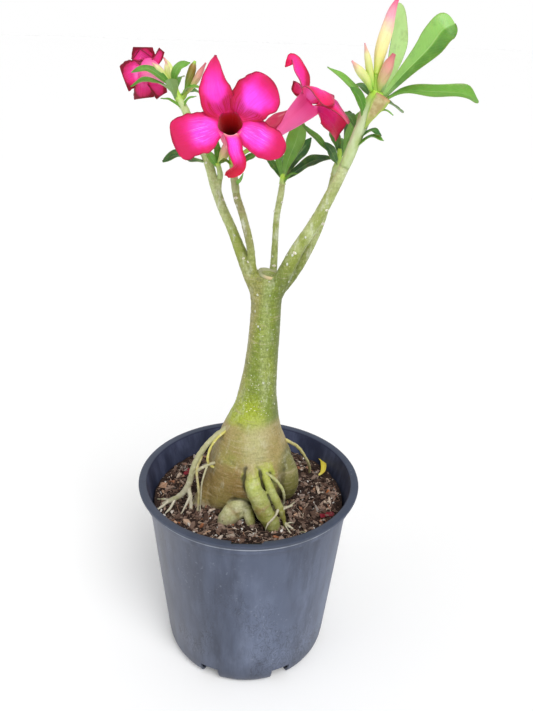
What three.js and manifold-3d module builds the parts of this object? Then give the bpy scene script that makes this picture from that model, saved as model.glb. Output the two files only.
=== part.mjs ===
// Potted desert rose: a bottle-shaped trunk with five branches, open flowers and buds, in a plastic pot.
// Units are millimetres and +Z is up. The origin is the middle of the pot's underside.

import * as THREE from 'three';
import { mergeVertices } from 'three/addons/utils/BufferGeometryUtils.js';
import Module from 'manifold-3d';

const wasm = await Module();
wasm.setup();

// Clearance left between pieces that touch
const GAP = 0.3;

// Faces are merged where that moves the surface less than this
const FACE_TOLERANCE = 0.18;
const MIX_TOLERANCE = 0.3;

// Distance between two corners of one body that would otherwise coincide
const PINCH_GAP = 0.01;

// Pot
const POT_HEIGHT = 180;
const RIM_RADIUS = 100;
const LIP_WIDTH = 7.5;
const LIP_EDGE = 2.4;
const COLLAR_RADIUS = 96;
const COLLAR_BOTTOM = 169;
const WALL_TOP_RADIUS = 92;
const CORNER_RADIUS = 76.7;
const CORNER_HEIGHT = 15;
const FOOT_RADIUS = 68;
const WALL = 2;
const FLOOR = 2.5;
const WELL_RADIUS = 37;
const WELL_TOP_RADIUS = 38.5;
const SHELF_HEIGHT = 18.2;
const POT_SIDES = 48;
const NOTCH_COUNT = 7;
const NOTCH_WIDTH = 18;
const NOTCH_HEIGHT = 15;
const NOTCH_DEPTH = 13;
const LABEL_SLOT_WIDTH = 26;
const LABEL_SLOT_DEPTH = 5;
const LABEL_SLOT_REACH = 4;

// Potting mix
const MIX_HEIGHT = 159;
const MIX_SIDES = 30;
const MIX_RINGS = 5;
const CHIP_COUNT = 38;
const CHIP_SEED = 31;

// Blades get more faces from these widths on
const WIDE_BLADE = 20;
const SMALL_BLADE = 9;

// Thickness of leaves and petals
const LEAF_THICKNESS = 0.9;
const PETAL_THICKNESS = 0.8;
const THROAT_WALL = 1;

// Half widths of a blade from its base to its tip, as shares of its greatest half width
const OUTLINES = {
  spoon: [0.16, 0.38, 0.72, 0.98, 0.94, 0.14],
  lance: [0.22, 0.62, 0.95, 1, 0.72, 0.1],
  bract: [0.7, 1, 0.9, 0.7, 0.45, 0.2],
  pointedPetal: [0.55, 1, 0.96, 0.68, 0.38, 0.08],
  roundPetal: [0.36, 0.74, 1, 1, 0.84, 0.3],
  longPetal: [0.5, 0.88, 1, 0.94, 0.74, 0.2],
  squarePetal: [0.34, 0.74, 0.98, 1, 0.86, 0.5],
  narrowPetal: [0.8, 1, 0.96, 0.9, 0.75, 0.3],
};

// Stems, as points from the trunk to the tip with a radius at each point.
// Up to the share `bare` a stem is part of the plant body, and past it part of its leafy tip.
const STEMS = {
  left: {
    points: [[4, 0, 362], [-3, 0, 375], [-11, 0, 393], [-18, 2, 410], [-26, 4, 427], [-31, 6, 441],
      [-37, 8, 461], [-46, 12, 478], [-53, 16, 494], [-59, 18, 504], [-63, 19.5, 512]],
    radii: [7, 5.8, 4.4, 3.9, 3.8, 3.9, 3.6, 3.4, 3.1, 3, 2.4],
    bare: 0.8,
  },
  leftTwig: {
    points: [[-28, 5, 434], [-28, 5, 442], [-27, 4, 451], [-29, 2, 460]],
    radii: [2.6, 2.4, 2.2, 1.8],
    bare: 0.55,
  },
  flower: {
    points: [[6, -3, 362], [0, -4, 376], [-3, -8, 399], [-9, -10, 423], [-14, -10, 438], [-16, -8, 453],
      [-18, -7, 465]],
    radii: [4.5, 3.6, 3.2, 3.1, 3, 2.8, 2.3],
    bare: 0.7,
  },
  centre: {
    points: [[13, 6, 355], [16, 11, 371], [17, 16, 393], [18, 20, 417], [21, 22, 436], [22, 24, 449]],
    radii: [4.5, 3.4, 2.8, 2.7, 2.7, 2.3],
    bare: 0.88,
  },
  right: {
    points: [[14, -2, 355], [22, -5, 369], [33, -8, 395], [45, -12, 417], [56, -16, 441], [65, -20, 464],
      [72, -24, 486], [79, -28, 507], [83, -30, 516]],
    radii: [8, 6.6, 5.2, 4.7, 4.3, 4, 4.2, 5.4, 4.4],
    bare: 0.63,
  },
  backRight: {
    points: [[15, 2, 352], [26, 5, 362], [39, 10, 380], [52, 16, 408], [58, 18, 430], [62, 18, 450],
      [66, 18, 470]],
    radii: [5, 4, 3.4, 3.2, 3, 3, 2.3],
    bare: 0.84,
  },
};

// Trunk and swollen base, from deep in the mix up to the fork
const TRUNK = {
  points: [[0, 8, 118], [0, 8, 138], [0, 7, 156], [0, 5, 166], [0, 3, 173], [1, 1, 180], [1.5, 0, 190],
    [1.5, 0, 202], [1.5, 0, 214], [2, 0, 227], [3.5, 0, 240], [5, 0, 252], [6, 0, 268], [8, 0, 290],
    [10, 0, 318], [11, 0, 346], [11, 0, 358], [11, 0, 370]],
  radii: [10, 15, 19, 24, 30, 35.6, 38.4, 36.6, 33, 27.8, 23, 19.3, 16.3, 14.2, 13, 12.5, 13.4, 13],
};

// Root lobes and roots that spread from the base
const ROOTS = [
  { points: [[-13, -5, 190], [-24, -8, 177], [-33, -10, 167], [-42, -12, 157], [-48, -12, 146]],
    radii: [21, 15.5, 11, 8.6, 5] },
  { points: [[22, -3, 214], [28, -9, 200], [31.5, -12, 187], [32.5, -9, 175], [32, -1, 161],
    [31, 4, 147]], radii: [9, 12.5, 13.2, 11.2, 7.4, 4] },
  { points: [[14, 22, 196], [22, 34, 176], [28, 44, 158], [32, 50, 138]], radii: [12, 13, 11, 6] },
  { points: [[-18, 22, 196], [-27, 33, 176], [-33, 42, 158], [-36, 48, 138]], radii: [12, 13, 10, 6] },
  { points: [[2, -30, 212], [3, -37, 203], [4, -42, 195], [9, -45.5, 186], [14, -48, 175],
    [19.5, -48.5, 166], [22, -47, 157], [23, -45, 145]], radii: [4, 6.2, 7.3, 7.6, 7.6, 7.2, 6.4, 3.6] },
  { points: [[11, -29, 209], [14, -34, 203], [18.5, -39, 193], [23.3, -42, 184], [27.5, -44, 176],
    [30.5, -45.5, 168], [32.5, -47, 160], [34, -48, 152]], radii: [2.4, 3.4, 3.9, 4, 3.8, 2.4, 1.7, 1.2] },
  { points: [[2, -20, 179], [-4, -29, 173.5], [-10, -34.5, 168.5], [-16, -38.5, 164], [-21, -41, 158],
    [-23, -42, 149]], radii: [5, 7.6, 8.8, 8.4, 6.6, 3] },
  { points: [[-4, -33, 172], [-0.5, -37, 169], [1, -41, 165], [2, -43, 160], [3, -43, 152]],
    radii: [3.4, 4, 4.3, 4.2, 3] },
];

// Aerial roots and rootlets
const THIN_ROOTS = [
  { points: [[-13, -4, 238], [-25, -9, 231], [-35, -14, 224], [-43, -16, 213], [-49, -18, 200],
    [-53, -18, 184], [-59, -18, 172], [-68, -18, 165], [-79, -18, 159]],
  radii: [2.6, 2.6, 2.4, 2.5, 2.6, 2.8, 2.6, 2.2, 1.4] },
  { points: [[-54, -18, 180], [-52, -22, 169], [-51, -27, 155]], radii: [2, 2, 1.4] },
  { points: [[-15, -8, 236], [-28, -14, 228], [-35, -18, 217], [-36, -20, 206], [-30, -18, 199]],
    radii: [1.4, 1.3, 1.3, 1.2, 1.2] },
  { points: [[-42, -16, 211], [-46, -20, 198], [-44, -25, 177], [-46, -28, 154]], radii: [1.3, 1.2, 1.2, 1] },
  { points: [[9, -31, 207], [16, -34.5, 205], [23, -36, 200], [29, -38, 192], [31, -36, 182],
    [31, -29, 171], [31, -25, 157]], radii: [1.3, 1.3, 1.3, 1.3, 1.2, 1.2, 1.2] },
  { points: [[22, 2, 222], [34, 1, 217], [44, 7, 207], [50, 14, 195], [55, 22, 182], [58, 30, 170],
    [59, 36, 159], [59, 38, 152]], radii: [1.5, 1.5, 1.4, 1.4, 1.3, 1.3, 1.2, 1.2] },
  { points: [[27, -44, 176], [33, -43, 177], [38, -40.5, 177]], radii: [1.3, 1.1, 0.8] },
  { points: [[32, -47, 163], [38, -50, 160], [44, -53, 156]], radii: [1.4, 1.2, 1] },
  { points: [[26, -45, 177], [23, -53, 175], [19.5, -55.5, 172], [16.5, -56, 169]], radii: [1.2, 1, 1, 0.8] },
];
const STUB = { points: [[10, 1, 358], [10.5, 1, 374], [11.5, 1, 379]], radii: [9, 8, 7.6] };

// Directions that a blade's upper face looks in
const FRONT = [0, -0.95, 0.3];
const FRONT_LEFT = [-0.45, -0.85, 0.25];
const FRONT_RIGHT = [0.45, -0.85, 0.25];
const SLOPING = [0, -0.6, 0.8];
const UPWARD = [0, -0.35, 0.93];

// Leaves of each shoot: rib points, width, facing and outline
const LEAVES = {
  left: [
    { rib: [[-62, 18, 508], [-73, 9, 515], [-83, 5, 516], [-92, 3, 512]], width: 9, facing: UPWARD },
    { rib: [[-62, 18, 510], [-69, 13, 517], [-81, 11, 524], [-92, 10, 521]], width: 9, facing: SLOPING },
    { rib: [[-61, 17, 503], [-62, 9, 511], [-63, 3, 518]], width: 9, facing: [0, 0.66, 0.75] },
    { rib: [[-61, 18, 510], [-61, 15, 519], [-57, 12, 526], [-50, 10, 529]], width: 9, facing: FRONT_LEFT },
    { rib: [[-57, 18, 506], [-50, 14, 512], [-41, 9, 512]], width: 6, facing: UPWARD, outline: 'lance' },
    { rib: [[-56, 16, 497], [-65, 12, 503], [-71, 8, 504]], width: 3, facing: SLOPING, outline: 'bract' },
    { rib: [[-56, 16, 497], [-51, 13, 504], [-45, 11, 506]], width: 3, facing: SLOPING, outline: 'bract' },
    { rib: [[-61, 21, 508], [-62, 34, 516], [-60, 45, 517]], width: 11, facing: [0, 0.3, 0.95] },
    { rib: [[-58, 20, 503], [-52, 30, 508], [-44, 36, 507]], width: 8, facing: UPWARD },
  ],
  leftTwig: [
    { rib: [[-28, 3, 457], [-29, 0, 468], [-30, -3, 479]], width: 6, facing: FRONT_RIGHT, outline: 'lance' },
    { rib: [[-28, 3, 455], [-34, -2, 465], [-37, -5, 471]], width: 5, facing: FRONT, outline: 'lance' },
    { rib: [[-28, 4, 456], [-24, 10, 468], [-18, 14, 475]], width: 7, facing: FRONT_LEFT },
    { rib: [[-28, 4, 454], [-34, 12, 462], [-41, 19, 464]], width: 7, facing: UPWARD },
  ],
  leftSide: [
    { rib: [[-40, 8, 459], [-52, 3, 462], [-60, -3, 465], [-70, -8, 462]], width: 12,
      facing: [-0.1, -0.4, 0.9] },
  ],
  flower: [
    { rib: [[-17, -7, 459], [-6, -8, 465], [3, -10, 470]], width: 6, facing: SLOPING, outline: 'lance' },
    { rib: [[-17, -8, 459], [-22, -10, 463], [-27, -14, 462]], width: 5, facing: UPWARD, outline: 'lance' },
    { rib: [[-15, -9, 446], [-11, -15, 451], [-9, -18, 456]], width: 3, facing: FRONT, outline: 'bract' },
    { rib: [[-17, -5, 458], [-14, 5, 465], [-10, 12, 467]], width: 7, facing: UPWARD },
  ],
  centre: [
    { rib: [[22, 23, 445], [26, 22, 461], [31, 20, 475], [34, 22, 490]], width: 15, facing: FRONT_LEFT },
    { rib: [[22, 24, 446], [31, 31, 459], [38, 36, 467], [44, 38, 474]], width: 10, facing: FRONT_LEFT },
    { rib: [[22, 23, 443], [35, 20, 454], [47, 18, 461], [58, 15, 463]], width: 12,
      facing: [-0.2, -0.5, 0.85] },
    { rib: [[21, 24, 445], [14, 26, 455], [8, 28, 461]], width: 6, facing: FRONT_RIGHT, outline: 'lance' },
    { rib: [[21, 24, 445], [18, 20, 458], [15, 18, 465]], width: 4.5, facing: FRONT, outline: 'lance' },
    { rib: [[22, 23, 441], [28, 17, 450], [33, 14, 451]], width: 2.6, facing: SLOPING, outline: 'bract' },
    { rib: [[21, 26, 444], [21, 40, 455], [24, 53, 458]], width: 12, facing: UPWARD },
  ],
  backRight: [
    { rib: [[64, 17, 459], [52, 10, 473], [43, 8, 481], [33, 8, 489]], width: 6.5, facing: SLOPING },
    { rib: [[64, 17, 458], [58, 12, 468], [52, 9, 476]], width: 8, facing: FRONT_RIGHT, outline: 'lance' },
    { rib: [[65, 18, 464], [62, 20, 476], [58, 22, 484]], width: 8, facing: FRONT },
    { rib: [[66, 17, 464], [70, 12, 484], [69, 10, 499]], width: 8, facing: FRONT_LEFT },
    { rib: [[67, 17, 465], [71, 9, 486], [77, 5, 500]], width: 6, facing: FRONT_LEFT, outline: 'lance' },
    { rib: [[65, 20, 462], [71, 34, 472], [76, 46, 472]], width: 11, facing: UPWARD },
  ],
  right: [
    { rib: [[85, -28, 511], [92, -22, 529], [95, -18, 548], [93, -20, 571]], width: 14, facing: FRONT_RIGHT },
    { rib: [[85, -30, 510], [97, -37, 527], [111, -44, 544], [119, -47, 556], [126, -45, 559]], width: 19,
      facing: [-0.25, -0.9, 0.35] },
    { rib: [[84, -30, 509], [99, -34, 516], [120, -37, 517], [141, -38, 516], [151, -36, 512]], width: 16,
      facing: [0.1, -0.5, 0.86] },
    { rib: [[78, -29, 505], [64, -36, 519], [46, -43, 531]], width: 8, facing: SLOPING, outline: 'lance' },
    { rib: [[75, -27, 497], [70, -36, 511], [62, -43, 519]], width: 8, facing: FRONT_RIGHT,
      outline: 'lance' },
    { rib: [[80, -26, 510], [75, -15, 517], [70, -5, 518]], width: 9, facing: UPWARD },
    { rib: [[84, -27, 510], [95, -20, 507], [104, -14, 501]], width: 9, facing: UPWARD },
    { rib: [[78, -28, 497], [88, -32, 504], [94, -35, 501]], width: 3, facing: UPWARD, outline: 'bract' },
    { rib: [[71, -24, 482], [81, -30, 490], [87, -35, 487]], width: 6, facing: UPWARD, outline: 'lance' },
    { rib: [[70, -23, 476], [81, -30, 486], [89, -35, 484]], width: 6, facing: UPWARD, outline: 'lance' },
    { rib: [[83, -27, 509], [92, -8, 519], [99, 8, 519]], width: 13, facing: UPWARD },
    { rib: [[72, -20, 487], [68, -6, 496], [62, 4, 497]], width: 9, facing: UPWARD },
  ],
};

// Flowers: trumpet from its base to its mouth, and petals that spread from the mouth
const FLOWERS = {
  front: {
    tube: [[-18, -11, 471], [-18, -27, 482], [-18, -45, 494]],
    petals: [
      { rib: [[-27, -46, 510], [-29, -43, 522], [-28, -38, 536]], width: 22,
        outline: 'pointedPetal', cup: 0.16 },
      { rib: [[-5, -47, 507], [3, -49, 514], [11, -50, 521]], width: 27,
        outline: 'roundPetal', cup: 0.12 },
      { rib: [[-1, -49, 487], [9, -51, 482], [20, -49, 477]], width: 21,
        outline: 'longPetal', cup: -0.14 },
      { rib: [[-15, -52, 478], [-12, -53, 468], [-20, -46, 459]], width: 11,
        outline: 'narrowPetal', facing: [0.4, -0.9, 0.1], cup: 0.5 },
      { rib: [[-34, -49, 489], [-44, -50, 486], [-57, -47, 481]], width: 27,
        outline: 'squarePetal', cup: -0.1 },
    ],
    facing: [0.03, -0.97, 0.22],
    mouth: 9.5,
  },
  left: {
    tube: [[-66, 20, 516], [-74, 24, 519], [-84, 30, 523]],
    petals: [
      { rib: [[-87, 35, 532], [-89, 34, 540]], width: 21, outline: 'squarePetal', cup: -0.2 },
      { rib: [[-76, 27, 532], [-70, 20, 539]], width: 17, outline: 'squarePetal', cup: -0.3 },
      { rib: [[-95, 37, 519], [-104, 34, 515]], width: 23, outline: 'squarePetal', cup: -0.15 },
      { rib: [[-88, 31, 510], [-89, 25, 502]], width: 22, outline: 'squarePetal', cup: -0.15 },
      { rib: [[-76, 23, 513], [-72, 17, 505]], width: 19, outline: 'roundPetal', cup: -0.3 },
    ],
    facing: [-0.66, 0.7, 0.26],
    mouth: 8.2,
  },
  side: {
    tube: [[14, -15, 483], [26, -15, 495], [38, -15, 506]],
    petals: [
      { rib: [[32, -16, 518], [28, -16, 526], [24, -14, 534], [19, -14, 529]], width: 16,
        outline: 'pointedPetal', facing: [0.6, -0.5, 0.6], cup: 0.4 },
      { rib: [[41, -30, 516], [46, -37, 516], [52, -40, 509]], width: 20,
        outline: 'roundPetal', facing: [0.5, -0.3, 0.8], cup: -0.2 },
      { rib: [[49, -26, 506], [57, -29, 502], [65, -26, 494]], width: 18,
        outline: 'longPetal', facing: [0.4, -0.3, 0.86], cup: -0.15 },
      { rib: [[49, -14, 498], [55, -15, 492], [61, -12, 485]], width: 19,
        outline: 'squarePetal', facing: [0.6, -0.7, 0.4], cup: 0.2 },
      { rib: [[36, 0, 513], [31, 8, 514], [26, 9, 511]], width: 17,
        outline: 'roundPetal', facing: [0.75, 0.1, 0.65], cup: -0.2 },
    ],
    facing: [0.7, -0.1, 0.7],
    mouth: 9.5,
  },
};
const TUBE_RADII = [0.28, 0.72, 1];
const TUBE_ROWS = 3;
const TUBE_FLOOR = 0.15;
const PETAL_COLUMNS = 4;
const PETAL_ROWS = 5;

// Plain room for a flower or bud is wider than its shape by this share, and thicker by this much
const ROOM_SHARE = 1.07;
const ROOM_EXTRA = 0.15;

// Buds: furled spindles, from the stalk to the tip, with a radius at each point
const BUDS = {
  buds_left_tip: [
    { points: [[-63, 19.5, 513], [-69, 17, 519], [-73, 15, 524], [-77, 13, 528]], radii: [1, 2.3, 2.2, 0.5] },
    { points: [[-63, 19.5, 512], [-66, 18, 520], [-67, 17, 525], [-67, 16, 529]], radii: [1, 2, 1.8, 0.5] },
    { points: [[-63, 19.5, 513], [-63, 21, 519], [-60, 22, 525]], radii: [0.9, 1.6, 0.5] },
    { points: [[-63, 20, 513], [-64, 26, 520], [-67, 30, 526], [-71, 33, 531]], radii: [1, 2.1, 2, 0.5] },
  ],
  bud_left_olive: [
    { points: [[-53.5, 18.5, 508], [-51, 18, 516], [-48, 17, 525], [-46, 17, 530]],
      radii: [1.4, 2.7, 2.8, 0.9] },
  ],
  bud_left_pink: [
    { points: [[-54, 19, 506], [-48, 17, 513], [-43, 15, 521], [-38, 13, 529]], radii: [0.9, 2, 2.4, 0.6] },
  ],
  bud_twig: [
    { points: [[-28, 2, 460], [-24, -2, 466], [-22, -4, 472], [-22, -6, 478]], radii: [1.4, 3.6, 3.4, 0.8] },
  ],
  bud_flower_stem: [
    { points: [[4, -8, 483], [9, -12, 489], [15, -14, 494], [23, -15, 500]], radii: [1.8, 4.2, 4.4, 1.2] },
  ],
  bud_right_large: [
    { points: [[80.5, -31, 527], [82, -32, 541], [84.5, -33, 554], [87, -34, 566], [90.5, -35, 575]],
      radii: [2.2, 4.4, 4.6, 3, 0.7] },
  ],
  bud_right_1: [
    { points: [[79, -31, 519], [76, -33, 527], [73, -36, 537], [70, -38, 546]], radii: [1.2, 2.5, 2.2, 0.4] },
  ],
  bud_right_2: [
    { points: [[78, -31, 516], [74, -34, 523], [68, -38, 529], [62, -42, 535]], radii: [1.2, 2.6, 2.8, 0.6] },
  ],
  bud_right_3: [
    { points: [[83, -31, 516], [84.5, -33, 523], [87, -36, 532], [90, -38, 540]],
      radii: [1.2, 3.4, 3.8, 1.4] },
  ],
};
const BUD_RIDGES = 5;
const BUD_RIDGE_DEPTH = 0.1;
const BUD_TWIST = 2.4;

// Green stalks that carry the flowers and buds beyond the end of a stem
const STALKS = {
  left: [{ points: [[-58, 18, 502], [-55, 18.5, 505], [-53.5, 18.5, 509]], radii: [2.2, 2.1, 1.9] }],
  flower: [
    { points: [[-18, -7, 464], [-18, -9, 468], [-18, -13, 472.5]], radii: [2.2, 2, 1.9] },
    { points: [[-18, -7, 463], [-6, -9, 471], [4, -8.5, 476], [15, -15, 484]], radii: [1.8, 1.5, 1.5, 1.9] },
    { points: [[-8, -9, 470], [-1, -8, 477], [5, -8.5, 484]], radii: [1.3, 1.3, 1.5] },
  ],
  right: [{ points: [[81, -30, 510], [80.5, -31, 520], [80.5, -31, 528]], radii: [2.4, 1.9, 1.8] }],
};

// What has dropped on the potting mix
const FALLEN = {
  fallen_leaf: { rib: [[71, 28, 159.2], [71, 40, 161.2], [64, 50, 162.7]], width: 8, facing: [0, 0, 1] },
  fallen_petal_front: { rib: [[64, -33, 160.4], [71, -32, 161.2], [77, -27, 160.4]], width: 9,
    facing: [0, 0, 1], outline: 'longPetal' },
  fallen_petal_left: { rib: [[-62, 30, 159.1], [-58, 36, 160.1], [-52, 41, 159.1]], width: 8,
    facing: [0, 0, 1], outline: 'roundPetal' },
};

const COLOURS = {
  pot: 0x2c3442,
  mix: 0x4a3226,
  bark: 0x8a9450,
  leaf: 0x5c9a35,
  flower: 0xe0218f,
  flowerDark: 0xb3123f,
  greenBud: 0xc2c964,
  pinkBud: 0xd98a8f,
  oliveBud: 0x8a7a3a,
  darkBud: 0xb04a63,
  fallenLeaf: 0xc9b23c,
  fallenPetal: 0x7a1f2c,
};

// Closed solid of a geometry, with the vertices that it shares merged
function solidOf(geometry) {
  geometry.deleteAttribute('normal');
  geometry.deleteAttribute('uv');
  const merged = mergeVertices(geometry, 1e-4);
  return new wasm.Manifold(new wasm.Mesh({
    numProp: 3,
    vertProperties: new Float32Array(merged.attributes.position.array),
    triVerts: new Uint32Array(merged.index.array),
  }));
}

function geometryOf(solid) {
  const mesh = solid.getMesh();
  const geometry = new THREE.BufferGeometry();
  geometry.setAttribute('position', new THREE.BufferAttribute(mesh.vertProperties, 3));
  geometry.setIndex(new THREE.BufferAttribute(mesh.triVerts, 1));
  geometry.computeVertexNormals();
  return unpinched(geometry);
}

// Where a body touches itself at a point, its two vertices there are drawn a hair into the body
function unpinched(geometry) {
  const { position, normal } = geometry.attributes;
  const places = new Set();
  for (let index = 0; index < position.count; index += 1) {
    const point = new THREE.Vector3().fromBufferAttribute(position, index);
    const place = point.toArray().map((value) => value.toFixed(3)).join(' ');
    if (places.has(place)) {
      point.addScaledVector(new THREE.Vector3().fromBufferAttribute(normal, index), -PINCH_GAP);
      position.setXYZ(index, ...point.toArray());
    }
    places.add(place);
  }
  return geometry;
}

const joined = (solids) => solids.reduce((whole, solid) => whole.add(solid));

// The largest connected body of a solid, so that no loose scrap is left by a cut
function largestBody(solid) {
  const bodies = solid.decompose();
  return bodies.reduce((largest, body) => (body.volume() > largest.volume() ? body : largest));
}

// Seeded draws between 0 and 1
function seededDraws(seed) {
  let state = seed;
  return () => {
    state = (state * 1664525 + 1013904223) % 4294967296;
    return state / 4294967296;
  };
}

const vector = (point) => new THREE.Vector3(...point);
const smoothCurve = (points) => new THREE.CatmullRomCurve3(points.map(vector));

// Smooth curve through numbers spaced evenly over 0 to 1
function smoothValue(values) {
  const curve = new THREE.SplineCurve(values.map((value, index) => new THREE.Vector2(index, value)));
  return (share) => curve.getPoint(share).y;
}

// Round rod along a smooth curve, whose radius changes on the way. `grow` thickens it all round,
// and ridges, if any, wind round it as the edges of a furled bud do.
function rod({ points, radii, sides = 8, steps = 10, from = 0, to = 1, ridges = 0 }, grow = 0) {
  const curve = smoothCurve(points);
  const radiusAt = smoothValue(radii);
  const across = new THREE.Vector3(0.3, 1, 0.1);
  const positions = [];
  const faces = [];
  for (let step = 0; step <= steps; step += 1) {
    const share = from + (to - from) * step / steps;
    const centre = curve.getPoint(share);
    const along = curve.getTangent(share);
    across.addScaledVector(along, -across.dot(along)).normalize();
    const third = new THREE.Vector3().crossVectors(along, across);
    const end = step === 0 ? -grow : (step === steps ? grow : 0);
    centre.addScaledVector(along, end);
    for (let side = 0; side < sides; side += 1) {
      const angle = 2 * Math.PI * side / sides;
      const ridge = ridges > 0 ? BUD_RIDGE_DEPTH * Math.cos(ridges * (angle - BUD_TWIST * share)) : 0;
      const radius = radiusAt(share) * (1 + ridge) + grow;
      const point = centre.clone();
      point.addScaledVector(across, radius * Math.cos(angle));
      point.addScaledVector(third, radius * Math.sin(angle));
      positions.push(...point.toArray());
    }
  }
  for (let step = 0; step < steps; step += 1) {
    for (let side = 0; side < sides; side += 1) {
      const next = (side + 1) % sides;
      const a = step * sides + side;
      const b = step * sides + next;
      faces.push(a, b, b + sides, a, b + sides, a + sides);
    }
  }
  for (let side = 1; side < sides - 1; side += 1) {
    const last = steps * sides;
    faces.push(0, side + 1, side, last, last + side, last + side + 1);
  }
  return solidOf(closedGeometry(positions, faces));
}

function closedGeometry(positions, faces) {
  const geometry = new THREE.BufferGeometry();
  geometry.setAttribute('position', new THREE.Float32BufferAttribute(positions, 3));
  geometry.setIndex(faces);
  return geometry;
}

// Leaf or petal: a thin blade along a curved rib, with its own outline. `cup` lifts its edges towards the
// face that it looks with (or drops them, if negative), as a share of the half width.
function blade({ rib, width, facing, outline = 'spoon', cup = 0.18 }, thickness, grow = 0) {
  const stations = width < SMALL_BLADE ? 4 : (width < WIDE_BLADE ? 5 : 6);
  const columns = width < WIDE_BLADE ? 2 : 4;
  const curve = smoothCurve(rib);
  const outlineAt = smoothValue(OUTLINES[outline]);
  const depth = thickness / 2 + grow;
  const positions = [];
  const faces = [];
  for (let station = 0; station <= stations; station += 1) {
    const share = 1 - (1 - station / stations) ** 1.25;
    const centre = curve.getPoint(share);
    const along = curve.getTangent(share);
    const end = station === 0 ? -grow : (station === stations ? grow : 0);
    centre.addScaledVector(along, end);
    const across = new THREE.Vector3().crossVectors(along, vector(facing)).normalize();
    const up = new THREE.Vector3().crossVectors(across, along);
    const halfWidth = Math.max(outlineAt(share) * width / 2, 0.4) + grow;
    for (let column = 0; column <= columns; column += 1) {
      const offset = 2 * column / columns - 1;
      const middle = centre.clone();
      middle.addScaledVector(across, offset * halfWidth);
      middle.addScaledVector(up, cup * halfWidth * offset * offset);
      positions.push(...middle.clone().addScaledVector(up, depth).toArray());
      positions.push(...middle.clone().addScaledVector(up, -depth).toArray());
    }
  }
  const top = (station, column) => 2 * (station * (columns + 1) + column);
  const under = (station, column) => top(station, column) + 1;
  const quad = (a, b, c, d) => faces.push(a, b, c, a, c, d);
  for (let i = 0; i < stations; i += 1) {
    for (let j = 0; j < columns; j += 1) {
      quad(top(i, j), top(i, j + 1), top(i + 1, j + 1), top(i + 1, j));
      quad(under(i, j), under(i + 1, j), under(i + 1, j + 1), under(i, j + 1));
    }
    quad(top(i, columns), under(i, columns), under(i + 1, columns), top(i + 1, columns));
    quad(top(i, 0), top(i + 1, 0), under(i + 1, 0), under(i, 0));
  }
  for (let j = 0; j < columns; j += 1) {
    quad(top(0, j), under(0, j), under(0, j + 1), top(0, j + 1));
    quad(top(stations, j), top(stations, j + 1), under(stations, j + 1), under(stations, j));
  }
  return solidOf(closedGeometry(positions, faces));
}

// Outer radius of the pot's wall at a height above its rounded corner
function wallRadius(height) {
  const share = (height - CORNER_HEIGHT) / (COLLAR_BOTTOM - CORNER_HEIGHT);
  return CORNER_RADIUS + (WALL_TOP_RADIUS - CORNER_RADIUS) * share;
}

// Quarter ellipse from the foot to the wall, moved in by `inset` from the pot's outer face
function cornerPoints(inset, steps) {
  const points = [];
  for (let step = 0; step <= steps; step += 1) {
    const angle = Math.PI / 2 * step / steps;
    const radius = FOOT_RADIUS - inset + (CORNER_RADIUS - FOOT_RADIUS) * Math.sin(angle);
    points.push(new THREE.Vector2(radius, CORNER_HEIGHT * (1 - Math.cos(angle))));
  }
  return points;
}

// Solid turned about +Z from a profile of radius and height
function turned(profile, sides) {
  const geometry = new THREE.LatheGeometry(profile, sides);
  geometry.rotateX(Math.PI / 2);
  return solidOf(geometry);
}

function pot() {
  const lipInner = RIM_RADIUS - LIP_WIDTH;
  const shelfBottom = SHELF_HEIGHT - FLOOR;
  const profile = [
    new THREE.Vector2(0, 0),
    new THREE.Vector2(WELL_RADIUS, 0),
    new THREE.Vector2(WELL_TOP_RADIUS, shelfBottom),
    new THREE.Vector2(CORNER_RADIUS - WALL, shelfBottom),
    ...cornerPoints(WALL, 3).reverse(),
    ...cornerPoints(0, 3),
    new THREE.Vector2(WALL_TOP_RADIUS, COLLAR_BOTTOM),
    new THREE.Vector2(COLLAR_RADIUS, COLLAR_BOTTOM + 0.8),
    new THREE.Vector2(COLLAR_RADIUS, POT_HEIGHT - LIP_EDGE - 0.6),
    new THREE.Vector2(RIM_RADIUS, POT_HEIGHT - LIP_EDGE),
    new THREE.Vector2(RIM_RADIUS, POT_HEIGHT - 0.6),
    new THREE.Vector2(RIM_RADIUS - 0.8, POT_HEIGHT),
    new THREE.Vector2(lipInner + 0.8, POT_HEIGHT),
    new THREE.Vector2(lipInner, POT_HEIGHT - 0.8),
    new THREE.Vector2(wallRadius(COLLAR_BOTTOM) - WALL, COLLAR_BOTTOM),
    new THREE.Vector2(wallRadius(SHELF_HEIGHT) - WALL, SHELF_HEIGHT),
    new THREE.Vector2(WELL_TOP_RADIUS - WALL, SHELF_HEIGHT),
    new THREE.Vector2(WELL_RADIUS - WALL, FLOOR),
    new THREE.Vector2(0, FLOOR),
  ];
  let shell = turned(profile, POT_SIDES);
  for (let notch = 0; notch < NOTCH_COUNT; notch += 1) {
    const cutter = new THREE.BoxGeometry(NOTCH_WIDTH, 2 * NOTCH_DEPTH, 2 * NOTCH_HEIGHT);
    cutter.translate(0, -(FOOT_RADIUS + NOTCH_DEPTH - 4), 0);
    cutter.rotateZ(2 * Math.PI * (notch + 0.5) / NOTCH_COUNT);
    shell = shell.subtract(solidOf(cutter));
  }
  const slot = new THREE.BoxGeometry(LABEL_SLOT_WIDTH, 2 * LABEL_SLOT_REACH, 2 * LABEL_SLOT_DEPTH);
  slot.translate(0, -lipInner + 1, POT_HEIGHT);
  return shell.subtract(solidOf(slot));
}

// Low swells and hollows in the surface of the mix, in millimetres
const swell = (x, y) => 1.3 * Math.sin(x / 11 + 1) * Math.cos(y / 13) + 0.9 * Math.sin((x + 2 * y) / 9);

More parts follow.
